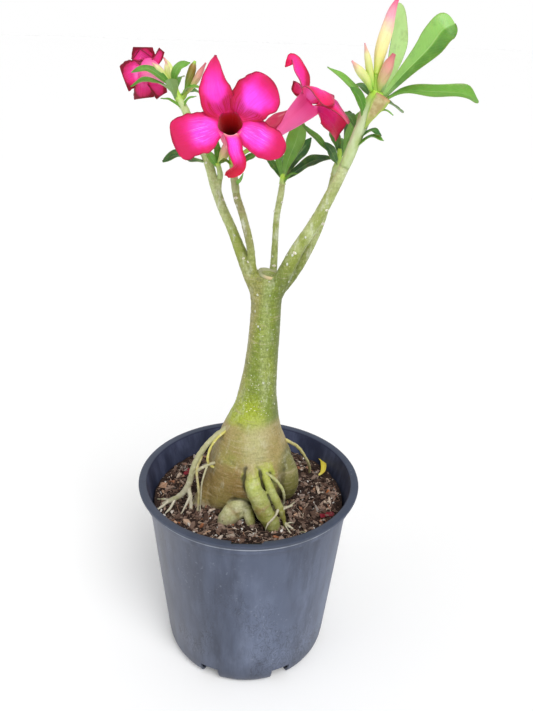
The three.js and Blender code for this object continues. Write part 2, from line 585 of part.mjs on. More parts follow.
function mixBody() {
  const edge = wallRadius(MIX_HEIGHT) - WALL - 0.5;
  const profile = [
    new THREE.Vector2(0, FLOOR + GAP),
    new THREE.Vector2(WELL_RADIUS - WALL - 2 * GAP, FLOOR + GAP),
    new THREE.Vector2(WELL_TOP_RADIUS - WALL - 2 * GAP, SHELF_HEIGHT + GAP),
    new THREE.Vector2(wallRadius(SHELF_HEIGHT) - WALL - 2 * GAP, SHELF_HEIGHT + GAP),
  ];
  for (let ring = MIX_RINGS; ring >= 0; ring -= 1) {
    profile.push(new THREE.Vector2(edge * ring / MIX_RINGS, MIX_HEIGHT));
  }
  const geometry = new THREE.LatheGeometry(profile, MIX_SIDES);
  geometry.rotateX(Math.PI / 2);
  const places = geometry.attributes.position;
  for (let index = 0; index < places.count; index += 1) {
    const x = places.getX(index);
    const y = places.getY(index);
    if (places.getZ(index) > MIX_HEIGHT - 1 && Math.hypot(x, y) < edge - 1) {
      places.setZ(index, MIX_HEIGHT + swell(x, y));
    }
  }
  return solidOf(geometry);
}

// Bark chips, half sunk in the surface at seeded places and angles
function barkChips() {
  const draw = seededDraws(CHIP_SEED);
  const chips = [];
  for (let count = 0; count < CHIP_COUNT; count += 1) {
    const length = 5 + 8 * draw() ** 2;
    const width = 3 + 3.5 * draw();
    const thickness = 1.8 + 2 * draw();
    const chip = mergeVertices(new THREE.BoxGeometry(length, width, thickness).deleteAttribute('uv')
      .deleteAttribute('normal'));
    const places = chip.attributes.position;
    for (let index = 0; index < places.count; index += 1) {
      places.setX(index, places.getX(index) * (0.75 + 0.4 * draw()));
      places.setY(index, places.getY(index) * (0.7 + 0.5 * draw()));
    }
    const reach = wallRadius(MIX_HEIGHT) - WALL - 2 - length * 0.62;
    const radius = reach * Math.sqrt(0.16 + 0.84 * draw());
    const heading = 2 * Math.PI * draw();
    const x = radius * Math.cos(heading);
    const y = radius * Math.sin(heading);
    chip.rotateX(0.7 * (draw() - 0.5));
    chip.rotateY(0.6 * (draw() - 0.5));
    chip.rotateZ(Math.PI * draw());
    chip.translate(x, y, MIX_HEIGHT + swell(x, y) + 0.25 * thickness);
    chips.push(solidOf(chip));
  }
  return chips;
}

const pottingMix = () => joined([mixBody(), ...barkChips()]);

function plantBody(grow) {
  const solids = [rod({ ...TRUNK, sides: 16, steps: 19 }, grow), rod({ ...STUB, sides: 12, steps: 3 }, grow)];
  for (const root of ROOTS) solids.push(rod({ ...root, sides: 10, steps: 5 }, grow));
  for (const root of THIN_ROOTS) {
    solids.push(rod({ ...root, sides: 5, steps: Math.round(1.4 * root.points.length) }, grow));
  }
  for (const stem of Object.values(STEMS)) {
    solids.push(rod({ ...stem, to: stem.bare, steps: Math.round(1.4 * stem.points.length) }, grow));
  }
  return joined(solids);
}

function leafySpray(shoot, grow) {
  const solids = LEAVES[shoot].map((leaf) => blade({ ...leaf }, LEAF_THICKNESS, grow));
  const stem = STEMS[shoot];
  if (stem) solids.push(rod({ ...stem, from: stem.bare, steps: 5 }, grow));
  for (const stalk of STALKS[shoot] ?? []) solids.push(rod({ ...stalk, sides: 7, steps: 6 }, grow));
  return joined(solids);
}

// Frame at a flower's mouth: its middle, the axis that it opens along and two directions across it
function mouthFrame({ tube }) {
  const middle = vector(tube[2]);
  const axis = vector(tube[2]).sub(vector(tube[1])).normalize();
  const first = new THREE.Vector3(0, 0, 1).addScaledVector(axis, -axis.z).normalize();
  return { middle, axis, first, second: new THREE.Vector3().crossVectors(axis, first) };
}

// Petals in order round the mouth, each with the angle that it grows towards and a rib from the rim
function petalsInOrder(values, frame) {
  const petals = values.petals.map((petal) => {
    const outward = vector(petal.rib[0]).sub(frame.middle);
    const heading = Math.atan2(outward.dot(frame.second), outward.dot(frame.first));
    const rim = frame.middle.clone().addScaledVector(frame.first, values.mouth * Math.cos(heading))
      .addScaledVector(frame.second, values.mouth * Math.sin(heading));
    return { facing: values.facing, ...petal, rib: [rim.toArray(), ...petal.rib], heading };
  });
  return petals.sort((a, b) => a.heading - b.heading);
}

// Corolla: one sheet whose trumpet opens into five petals. The petals share the rim, so that each one
// flows out of the trumpet, and the rim is split between them halfway from each heading to the next.
function corolla(values) {
  const { tube, mouth } = values;
  const frame = mouthFrame(values);
  const petals = petalsInOrder(values, frame);
  const angles = [];
  petals.forEach((petal, index) => {
    const before = petals.at(index - 1).heading - (index === 0 ? 2 * Math.PI : 0);
    const fullTurn = index === petals.length - 1 ? 2 * Math.PI : 0;
    const after = petals[(index + 1) % petals.length].heading + fullTurn;
    const start = (before + petal.heading) / 2;
    const end = (petal.heading + after) / 2;
    for (let column = 0; column < PETAL_COLUMNS; column += 1) {
      angles.push(start + (end - start) * column / PETAL_COLUMNS);
    }
  });
  const positions = [];
  const faces = [];
  const vertex = (point) => positions.push(...point.toArray()) / 3 - 1;
  const quad = (a, b, c, d) => faces.push(a, b, c, a, c, d);

  const curve = smoothCurve(tube);
  const radiusAt = smoothValue(TUBE_RADII.map((share) => share * mouth));
  const ring = (share, inset) => {
    const centre = curve.getPoint(share);
    const along = curve.getTangent(share);
    const first = frame.first.clone().addScaledVector(along, -frame.first.dot(along)).normalize();
    const second = new THREE.Vector3().crossVectors(along, first);
    const radius = radiusAt(share) - inset;
    return angles.map((angle) => vertex(centre.clone().addScaledVector(first, radius * Math.cos(angle))
      .addScaledVector(second, radius * Math.sin(angle))));
  };
  const inner = [];
  const outer = [];
  for (let row = 0; row <= TUBE_ROWS; row += 1) {
    inner.push(ring(TUBE_FLOOR + (1 - TUBE_FLOOR) * row / TUBE_ROWS, THROAT_WALL));
    outer.push(ring(row / TUBE_ROWS, 0));
  }
  const innerMiddle = vertex(curve.getPoint(TUBE_FLOOR));
  const outerMiddle = vertex(curve.getPoint(0));
  for (let column = 0; column < angles.length; column += 1) {
    const next = (column + 1) % angles.length;
    faces.push(innerMiddle, inner[0][column], inner[0][next]);
    faces.push(outerMiddle, outer[0][next], outer[0][column]);
    for (let row = 0; row < TUBE_ROWS; row += 1) {
      quad(inner[row][column], inner[row + 1][column], inner[row + 1][next], inner[row][next]);
      quad(outer[row][column], outer[row][next], outer[row + 1][next], outer[row + 1][column]);
    }
  }

  petals.forEach((petal, index) => {
    const columns = [...Array(PETAL_COLUMNS + 1).keys()].map((column) => (
      (index * PETAL_COLUMNS + column) % angles.length));
    const tops = [columns.map((column) => inner[TUBE_ROWS][column])];
    const unders = [columns.map((column) => outer[TUBE_ROWS][column])];
    const rib = smoothCurve(petal.rib);
    const outlineAt = smoothValue(OUTLINES[petal.outline]);
    for (let row = 1; row <= PETAL_ROWS; row += 1) {
      const share = 1 - (1 - row / PETAL_ROWS) ** 1.25;
      const along = rib.getTangent(share);
      const across = new THREE.Vector3().crossVectors(vector(petal.facing), along).normalize();
      const up = new THREE.Vector3().crossVectors(along, across);
      const halfWidth = Math.max(outlineAt(share) * petal.width / 2, 0.4);
      const top = [];
      const under = [];
      for (let column = 0; column <= PETAL_COLUMNS; column += 1) {
        const offset = 2 * column / PETAL_COLUMNS - 1;
        const point = rib.getPoint(share).addScaledVector(across, offset * halfWidth)
          .addScaledVector(up, petal.cup * halfWidth * offset * offset);
        top.push(vertex(point.clone().addScaledVector(up, PETAL_THICKNESS / 2)));
        under.push(vertex(point.clone().addScaledVector(up, -PETAL_THICKNESS / 2)));
      }
      tops.push(top);
      unders.push(under);
    }
    for (let row = 0; row < PETAL_ROWS; row += 1) {
      const last = PETAL_COLUMNS;
      const next = row + 1;
      for (let column = 0; column < last; column += 1) {
        quad(tops[row][column], tops[next][column], tops[next][column + 1], tops[row][column + 1]);
        quad(unders[row][column], unders[row][column + 1], unders[next][column + 1], unders[next][column]);
      }
      quad(tops[row][0], unders[row][0], unders[next][0], tops[next][0]);
      quad(tops[row][last], tops[next][last], unders[next][last], unders[row][last]);
    }
    for (let column = 0; column < PETAL_COLUMNS; column += 1) {
      const top = tops[PETAL_ROWS];
      const under = unders[PETAL_ROWS];
      quad(top[column], under[column], under[column + 1], top[column + 1]);
    }
  });
  return solidOf(closedGeometry(positions, faces));
}

// Room that a flower needs: its trumpet filled and its petals apart, all thicker by `grow`
function flowerRoom(values, grow) {
  const radii = TUBE_RADII.map((share) => share * values.mouth * ROOM_SHARE);
  const trumpet = rod({ points: values.tube, radii, sides: 10, steps: 3 }, grow);
  const petals = petalsInOrder(values, mouthFrame(values))
    .map((petal) => blade(petal, PETAL_THICKNESS, grow + ROOM_EXTRA));
  return joined([trumpet, ...petals]);
}

function flower(place, grow) {
  return grow > 0 ? flowerRoom(FLOWERS[place], grow) : corolla(FLOWERS[place]);
}

// Furled buds. The room for one is plain, and wide enough for its ridges.
function buds(name, grow) {
  const shape = { sides: 10, steps: 5, ridges: BUD_RIDGES };
  const room = { sides: 8, steps: 4 };
  return joined(BUDS[name].map((bud) => (grow > 0
    ? rod({ ...bud, ...room, radii: bud.radii.map((radius) => radius * ROOM_SHARE) }, grow + ROOM_EXTRA)
    : rod({ ...bud, ...shape }))));
}

const fallen = (name, grow) => blade(FALLEN[name], PETAL_THICKNESS, grow);

// Plant pieces, firmest first: each is cut clear of all that come before it
const plantPieces = [
  ['plant_body', COLOURS.bark, 0.75, plantBody],
  ['flower_front', COLOURS.flower, 0.55, (grow) => flower('front', grow)],
  ['flower_left', COLOURS.flowerDark, 0.55, (grow) => flower('left', grow)],
  ['flower_side', COLOURS.flower, 0.55, (grow) => flower('side', grow)],
  ['bud_right_large', COLOURS.greenBud, 0.6, (grow) => buds('bud_right_large', grow)],
  ['bud_right_1', COLOURS.greenBud, 0.6, (grow) => buds('bud_right_1', grow)],
  ['bud_right_2', COLOURS.greenBud, 0.6, (grow) => buds('bud_right_2', grow)],
  ['bud_right_3', COLOURS.pinkBud, 0.6, (grow) => buds('bud_right_3', grow)],
  ['buds_left_tip', COLOURS.greenBud, 0.6, (grow) => buds('buds_left_tip', grow)],
  ['bud_left_olive', COLOURS.oliveBud, 0.6, (grow) => buds('bud_left_olive', grow)],
  ['bud_left_pink', COLOURS.pinkBud, 0.6, (grow) => buds('bud_left_pink', grow)],
  ['bud_twig', COLOURS.pinkBud, 0.6, (grow) => buds('bud_twig', grow)],
  ['bud_flower_stem', COLOURS.darkBud, 0.6, (grow) => buds('bud_flower_stem', grow)],
  ['leaves_left_tip', COLOURS.leaf, 0.5, (grow) => leafySpray('left', grow)],
  ['leaves_left_twig', COLOURS.leaf, 0.5, (grow) => leafySpray('leftTwig', grow)],
  ['leaf_left_side', COLOURS.leaf, 0.5, (grow) => leafySpray('leftSide', grow)],
  ['leaves_flower_stem', COLOURS.leaf, 0.5, (grow) => leafySpray('flower', grow)],
  ['leaves_centre', COLOURS.leaf, 0.5, (grow) => leafySpray('centre', grow)],
  ['leaves_back_right', COLOURS.leaf, 0.5, (grow) => leafySpray('backRight', grow)],
  ['leaves_right', COLOURS.leaf, 0.5, (grow) => leafySpray('right', grow)],
  ['fallen_leaf', COLOURS.fallenLeaf, 0.7, (grow) => fallen('fallen_leaf', grow)],
  ['fallen_petal_front', COLOURS.fallenPetal, 0.7, (grow) => fallen('fallen_petal_front', grow)],
  ['fallen_petal_left', COLOURS.fallenPetal, 0.7, (grow) => fallen('fallen_petal_left', grow)],
  ['potting_mix', COLOURS.mix, 0.95, pottingMix],
];

function namedMesh(name, solid, colour, roughness) {
  const material = new THREE.MeshStandardMaterial({ color: colour, roughness, metalness: 0 });
  const mesh = new THREE.Mesh(geometryOf(solid), material);
  mesh.name = name;
  return mesh;
}

const plant = new THREE.Group();
plant.add(namedMesh('pot', pot(), COLOURS.pot, 0.5));
const placed = [];
for (const [name, colour, roughness, build] of plantPieces) {
  let solid = build(0);
  for (const clearance of placed) solid = solid.subtract(clearance);
  const tolerance = name === 'potting_mix' ? MIX_TOLERANCE : FACE_TOLERANCE;
  plant.add(namedMesh(name, largestBody(solid.simplify(tolerance)), colour, roughness));
  placed.push(build(GAP).simplify(FACE_TOLERANCE / 2));
}

export default plant;
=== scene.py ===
# A desert rose in its pot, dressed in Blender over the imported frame.
# Points and widths are in millimetres, as a gardener would measure them, and `mm` turns them into metres.

import bpy
import bmesh
import math
import numpy
import random
from mathutils import Matrix, Vector, noise
from mathutils.bvhtree import BVHTree


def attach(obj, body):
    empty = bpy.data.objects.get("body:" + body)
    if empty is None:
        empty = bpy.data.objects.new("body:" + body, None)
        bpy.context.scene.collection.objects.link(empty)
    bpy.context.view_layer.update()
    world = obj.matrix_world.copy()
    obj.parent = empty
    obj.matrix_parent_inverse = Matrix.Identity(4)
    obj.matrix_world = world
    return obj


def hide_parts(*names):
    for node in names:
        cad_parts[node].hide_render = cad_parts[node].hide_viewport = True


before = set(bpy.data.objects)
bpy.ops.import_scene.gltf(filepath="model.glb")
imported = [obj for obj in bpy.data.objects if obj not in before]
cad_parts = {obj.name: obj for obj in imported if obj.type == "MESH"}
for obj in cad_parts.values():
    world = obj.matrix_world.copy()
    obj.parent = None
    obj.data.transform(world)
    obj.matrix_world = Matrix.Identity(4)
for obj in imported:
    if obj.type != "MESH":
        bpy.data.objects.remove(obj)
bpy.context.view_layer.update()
mm = 0.001
fullTurn = 6.283  # once round, for turns drawn at random and for waves
bpy.context.scene.view_settings.view_transform = "Standard"
print("frame loaded")


# Camera and light

cameraValues = {
    "place": (0.0, -0.54799, 0.55145),
    "right": (0.99955303, -0.0102052, 0.02809964),
    "up": (-0.02131981, 0.41557296, 0.90930995),
    "forward": (0.02095714, 0.90950259, -0.41516964),
    "lens": 36.0,
    "sensor": 36.0,
}


def addObject(name, data):
    made = bpy.data.objects.new(name, data)
    bpy.context.collection.objects.link(made)
    return made


def turnTo(place, target):  # the turn that points a lamp at its target
    return (Vector(target) - Vector(place)).to_track_quat("-Z", "Y").to_euler()


def paint(name, constants):  # a plain material with these values in its shader
    material = bpy.data.materials.new(name)
    material.use_nodes = True
    for socket, value in constants.items():
        material.node_tree.nodes["Principled BSDF"].inputs[socket].default_value = value
    return material


def addCamera(values):
    lens = bpy.data.cameras.new("camera")
    lens.lens, lens.sensor_width = values["lens"], values["sensor"]
    camera = addObject("camera", lens)
    back = tuple(-part for part in values["forward"])
    turn = Matrix((values["right"], values["up"], back)).transposed().to_4x4()
    camera.matrix_world = Matrix.Translation(values["place"]) @ turn
    bpy.context.scene.camera = camera


addCamera(cameraValues)

lightValues = {
    # how bright the sky is overhead and at the horizon, and where it changes from one to the other
    "sky": {"above": 0.5, "horizon": 1.0, "change": (0.06, 0.3)},
    # a broad soft lamp, like a bright overcast sky on one side: where it comes from, width in degrees, strength
    "key": {"from": (0.22, -0.62, 0.78), "width": 38, "strength": 2.3},
    # place, aimed at, side of the panel in metres, watts
    "fill": ((-0.9, -0.5, 0.5), (0, 0, 0.25), 0.8, 1.6),
    "floor": {"half": 40.0, "colour": (0.95, 0.95, 0.95, 1.0), "roughness": 0.9},
}


def addLights(values):
    world = bpy.context.scene.world or bpy.data.worlds.new("world")
    bpy.context.scene.world = world
    world.use_nodes = True
    tree = world.node_tree
    sky = tree.nodes["Background"]
    aim, split, climb = (tree.nodes.new("ShaderNode" + kind) for kind in ("TexCoord", "SeparateXYZ", "MapRange"))
    low, high = values["sky"]["change"]
    for name, value in (("From Min", low), ("From Max", high), ("To Min", values["sky"]["horizon"]),
                        ("To Max", values["sky"]["above"])):
        climb.inputs[name].default_value = value
    tree.links.new(aim.outputs["Generated"], split.inputs[0])
    tree.links.new(split.outputs["Z"], climb.inputs["Value"])
    tree.links.new(climb.outputs["Result"], sky.inputs["Strength"])
    sky.inputs["Color"].default_value = (1, 1, 1, 1)
    key = bpy.data.lights.new("key", "SUN")
    key.angle, key.energy = math.radians(values["key"]["width"]), values["key"]["strength"]
    addObject("key", key).rotation_euler = turnTo(values["key"]["from"], (0, 0, 0))
    place, target, side, watts = values["fill"]
    panel = bpy.data.lights.new("fill", "AREA")
    panel.size, panel.energy = side, watts
    lamp = addObject("fill", panel)
    lamp.location, lamp.rotation_euler = place, turnTo(place, target)
    half = values["floor"]["half"]
    sheet = bpy.data.meshes.new("floor")
    sheet.from_pydata([(-half, -half, 0), (half, -half, 0), (half, half, 0), (-half, half, 0)], [], [(0, 1, 2, 3)])
    sheet.materials.append(paint("floorPaint", {"Base Color": values["floor"]["colour"],
                                                "Roughness": values["floor"]["roughness"]}))
    floor = addObject("floor", sheet)


addLights(lightValues)
print("camera and light set")


# Finishes

def tint(text):  # colour written as a screen shows it, such as "e0218f"
    parts = [int(text[at:at + 2], 16) / 255 for at in (0, 2, 4)]
    return (*[part / 12.92 if part <= 0.04045 else ((part + 0.055) / 1.055) ** 2.4 for part in parts], 1.0)


class Signal:  # a socket that takes part in sums
    def __init__(self, finish, socket):
        self.finish, self.socket = finish, socket

    def math(self, operation, *values):
        return self.finish.node("Math", {"operation": operation}, dict(enumerate(values)))

    def __add__(self, other): return self.math("ADD", self, other)
    def __radd__(self, other): return self.math("ADD", other, self)
    def __sub__(self, other): return self.math("SUBTRACT", self, other)
    def __rsub__(self, other): return self.math("SUBTRACT", other, self)
    def __mul__(self, other): return self.math("MULTIPLY", self, other)
    def __rmul__(self, other): return self.math("MULTIPLY", other, self)
    def __pow__(self, other): return self.math("POWER", self, other)
    def __abs__(self): return self.math("ABSOLUTE", self)
    def sine(self): return self.math("SINE", self)
    def most(self, other): return self.math("MAXIMUM", self, other)

    def under(self, share, colour):  # this shade with a share of a colour laid over it
        return self.finish.blend(share, self, colour)

    def rise(self, low, high):  # 0 below low, 1 above high, smooth between
        return self.finish.node("MapRange", {"interpolation_type": "SMOOTHSTEP"}, {0: self, 1: low, 2: high})

    def fall(self, low, high):  # 1 below low, 0 above high
        return 1 - self.rise(low, high)


class Finish:  # a material, with one method that adds any node
    def __init__(self, name, constants, colours={}):
        self.material, self.colours = paint(name, constants), colours
        self.tree = self.material.node_tree
        self.shader = self.tree.nodes["Principled BSDF"]

    def node(self, kind, settings, sockets, output=0):
        made = self.tree.nodes.new("ShaderNode" + kind)
        for key, value in settings.items():
            if key == "stops":
                for spare in range(len(value) - 2):
                    made.color_ramp.elements.new(0.5)
                for stop, (place, colour) in zip(made.color_ramp.elements, value):
                    stop.position, stop.color = place, self.colour(colour)
            else:
                setattr(made, key, value)
        for key, value in sockets.items():
            self.feed(made.inputs[key], value)
        return Signal(self, made.outputs[output])

    def colour(self, value):  # one of the finish's own colours by its name, or any colour as text
        return tint(self.colours.get(value, value))

    def feed(self, socket, value):
        if isinstance(value, Signal):
            self.tree.links.new(value.socket, socket)
        else:
            socket.default_value = self.colour(value) if isinstance(value, str) else value

    def give(self, name, value):
        self.feed(self.shader.inputs[name], value)

    def mark(self, name):  # a number stored at the mesh's points
        return self.node("Attribute", {"attribute_name": name}, {}, 2)

    def place(self, *stretch):  # where a point is, in metres
        point = self.node("TexCoord", {}, {}, 3)
        return self.node("VectorMath", {"operation": "MULTIPLY"}, {0: point, 1: stretch or (1, 1, 1)})

    def axes(self):  # x, y and z of a point, each by itself
        return [self.node("SeparateXYZ", {}, {0: self.place()}, axis) for axis in range(3)]

    def grain(self, scale, detail=3.0, where=None, rough=0.55, bend=0.0):
        return self.node("TexNoise", {}, {"Vector": where or self.place(), "Scale": scale, "Detail": detail,
                                          "Roughness": rough, "Distortion": bend})

    def blend(self, share, first, second):
        return self.node("Mix", {"data_type": "RGBA"}, {0: share, 6: first, 7: second}, 2)

    def ramp(self, value, stops):
        return self.node("ValToRGB", {"stops": stops}, {0: value})

    def bump(self, height, depth, strength):
        self.give("Normal", self.node("Bump", {}, {"Height": height, "Distance": depth, "Strength": strength}))


# Making meshes

def smoothValue(values):  # smooth curve through numbers spaced evenly over 0 to 1
    def at(share):
        place = share * (len(values) - 1)
        step = min(int(place), len(values) - 2)
        part = place - step
        p = [values[min(max(step + way, 0), len(values) - 1)] for way in (-1, 0, 1, 2)]
        a, b = (p[2] - p[0]) / 2, (p[3] - p[1]) / 2
        return ((2 * p[1] - 2 * p[2] + a + b) * part ** 3 + (-3 * p[1] + 3 * p[2] - 2 * a - b) * part ** 2
                + a * part + p[1])
    return at


def smoothCurve(points):  # smooth curve through points in millimetres: gives its place and its direction
    knots = [Vector(point) * mm for point in points]
    last = len(knots) - 1

    def at(share):
        place = min(max(share, 0.0), 1.0) * last
        step = min(int(place), last - 1)
        part = place - step
        b, c = knots[step], knots[step + 1]
        a = knots[step - 1] if step > 0 else b * 2 - c
        d = knots[step + 2] if step + 2 <= last else c * 2 - b
        t0, t1, t2 = (max((q - p).length, 1e-9) ** 0.5 for p, q in ((a, b), (b, c), (c, d)))
        inward = ((b - a) / t0 - (c - a) / (t0 + t1) + (c - b) / t1) * t1
        outward = ((c - b) / t1 - (d - b) / (t1 + t2) + (d - c) / t2) * t1
        return ((2 * b - 2 * c + inward + outward) * part ** 3 + (-3 * b + 3 * c - 2 * inward - outward) * part ** 2
                + inward * part + b)

    def way(share, near=0.004):
        return (at(min(share + near, 1)) - at(max(share - near, 0))).normalized()
    return at, way


def step01(value, low, high):  # 0 below low, 1 above high, smooth between
    part = min(max((value - low) / (high - low), 0.0), 1.0)
    return part * part * (3 - 2 * part)


class Shape:  # one piece being made: points with marks for its finish, and faces
    def __init__(self):
        self.points, self.faces, self.slots = [], [], []
        self.marks = {"along": [], "across": [], "tone": [], "back": []}

    def point(self, place, along=0.0, across=0.0, tone=0.5, back=0.0):
        self.points.append(place)
        for values, value in zip(self.marks.values(), (along, across, tone, back)):
            values.append(value)
        return len(self.points) - 1

    def face(self, *corners, slot=0):
        self.faces.append(corners)
        self.slots.append(slot)

    def grid(self, rows, closed=False, flip=False, slot=0):  # faces between rows of points
        for first, second in zip(rows, rows[1:]):
            span = len(first) if closed else len(first) - 1
            for at in range(span):
                on = (at + 1) % len(first)
                quad = (first[at], first[on], second[on], second[at])
                self.face(*(reversed(quad) if flip else quad), slot=slot)

    def solid(self, rows, flip=False, slot=0):  # closed rings with a face at each end
        self.grid(rows, closed=True, flip=flip, slot=slot)
        first, last = (rows[0], reversed(rows[-1])) if flip else (reversed(rows[0]), rows[-1])
        self.face(*first, slot=slot)
        self.face(*last, slot=slot)

    def sheet(self, tops, unders, flip=False, slot=0, start=True):  # two skins, joined round their edges
        self.grid(tops, flip=flip, slot=slot)
        self.grid(unders, flip=not flip, slot=slot)
        for side in (0, -1):
            strip = [[row[side] for row in skin] for skin in (tops, unders)]
            self.grid(strip, flip=(side == 0) != flip, slot=slot)
        if start:
            self.grid([tops[0], unders[0]], flip=flip, slot=slot)
        self.grid([tops[-1], unders[-1]], flip=not flip, slot=slot)

    def mesh(self, name):
        made = bpy.data.meshes.new(name)
        made.from_pydata([tuple(point) for point in self.points], [], [tuple(face) for face in self.faces])
        made.polygons.foreach_set("material_index", self.slots)
        return made

    def build(self, name, finishes, slot, *nodes, smooth=True):
        made = self.mesh(name)
        addMarks(made, self.marks)
        made.polygons.foreach_set("use_smooth", [smooth] * len(self.faces))
        made.update()
        settle(name, made, finishes, slot, *nodes)


def addMarks(mesh, marks):  # numbers that the finishes read at the mesh's points
    for name, values in marks.items():
        mesh.attributes.new(name, "FLOAT", "POINT").data.foreach_set("value", values)


def turns(count):  # directions evenly spaced round a circle
    return [2 * math.pi * step / count for step in range(count)]


def pieceName(node):  # "bud_twig" gives "budTwigPiece"
    return node.split("_")[0] + "".join(part.title() for part in node.split("_")[1:]) + "Piece"


def settle(name, mesh, finishes, slot, *nodes):  # the piece joins the frame in place of its solids
    for finish in finishes:
        mesh.materials.append(finish.material)
    piece = addObject(name, mesh)
    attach(piece, "root")
    if nodes:
        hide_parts(*nodes)


roughScale = 260  # how fine the roughness of a rod is


def addRod(shape, points, radii, sides=24, steps=40, start=0.0, end=1.0, tone=0.5, ridges=None, slot=0, rough=0.0):
    at, way = smoothCurve(points)
    radiusAt = smoothValue(radii)
    across = Vector((0.3, 1, 0.1))
    rows = []
    for step in range(steps + 1):
        share = start + (end - start) * step / steps
        centre, along = at(share), way(share)
        across = (across - along * across.dot(along)).normalized()
        third = along.cross(across)
        row = []
        for angle in turns(sides):
            radius = radiusAt(share) * mm
            if ridges:
                radius *= 1 + ridges(angle, share)
            spot = centre + (across * math.cos(angle) + third * math.sin(angle)) * radius
            if rough:
                spot += (spot - centre).normalized() * noise.noise(spot * roughScale) * rough * mm
            row.append(shape.point(spot, share, math.cos(angle), tone))
        rows.append(row)
    shape.solid(rows, slot=slot)


# The pot

potValues = {
    "sides": 192,
    # radius and height of the outer face from the middle of the foot up, over the lip, and down inside
    "outer": [(0, 0), (36.4, 0), (37, 0.3), (37.3, 1.2), (38.4, 14.4), (39.4, 15.6), (72.6, 15.7), (74.4, 14.7),
              (74, 11.3), (72.9, 7.5), (70.8, 4.1), (68.5, 2.1), (66.4, 1.3), (65.8, 0.8), (65.9, 0.2), (66.5, 0),
              (67.6, 0), (68.2, 0.2), (70.8, 1.2), (73.1, 3.6), (75.1, 7.5), (76.3, 12), (77.0, 17.5), (78.9, 37),
              (81.4, 62), (84, 88), (86.4, 113), (88.8, 139), (90.9, 161), (91.5, 167.2), (91.9, 168.2),
              (93.4, 168.5), (95.2, 168.8), (95.9, 169.3), (96, 170.2), (96.2, 176.4), (96.6, 177.2), (98.8, 177.5),
              (99.8, 178), (100, 178.9), (99.7, 179.7), (99, 180), (96.5, 180.1), (93.6, 180), (92.9, 179.6)],
    "inner": [(92.6, 178.8), (91.8, 174), (90.7, 169), (88.6, 156), (86.3, 134), (82.5, 96), (78, 48), (75.4, 24),
              (74.8, 20), (73.2, 18.2), (39.5, 18.1), (37.8, 17.4), (36.6, 16), (35.3, 3.8), (34.3, 2.6), (0, 2.5)],
    "notch": {"count": 7, "width": 18, "height": 15, "depth": 13, "foot": 64},
    # cut by boxes, each with its size and place, at these turns about the pot's middle
    "labelSlot": {"turns": (-0.102, -0.034, 0.034, 0.102),
                  "boxes": [((6.6, 3, 18), (0, -93.9, 180)), ((6.6, 5, 5.6), (0, -90, 180))]},
    "sharp": 38,  # edges that turn by more degrees than this stay sharp
    "colour": {"wall": "525c73", "pale": "727c94", "dark": "31384a", "lip": "363e50", "inside": "2e3348",
               "insidePale": "565d78", "scuff": "a3abb9", "haze": "85858a", "deep": "0e1119"},
    # heights in metres at which a mark begins and is full
    "zones": {"foot": (0.0, 0.04), "lip": (0.1715, 0.1735), "ledgeHighlightFoot": (0.1727, 0.1732),
              "ledgeHighlightTop": (0.1737, 0.1742), "scratchTop": (0.06, 0.13), "bandFoot": (0.02, 0.07),
              "bandTop": (0.13, 0.16), "innerLip": (0.178, 0.179), "pocket": (0.1765, 0.177)},
    # the label slot's place in metres, where it is painted near black as its shadow: half its width, its middle, and
    # how far in it begins and ends
    "pocket": {"half": 0.0124, "middle": 0.0009, "from": (0.0912, 0.0914), "to": (0.0962, 0.0965)},
}


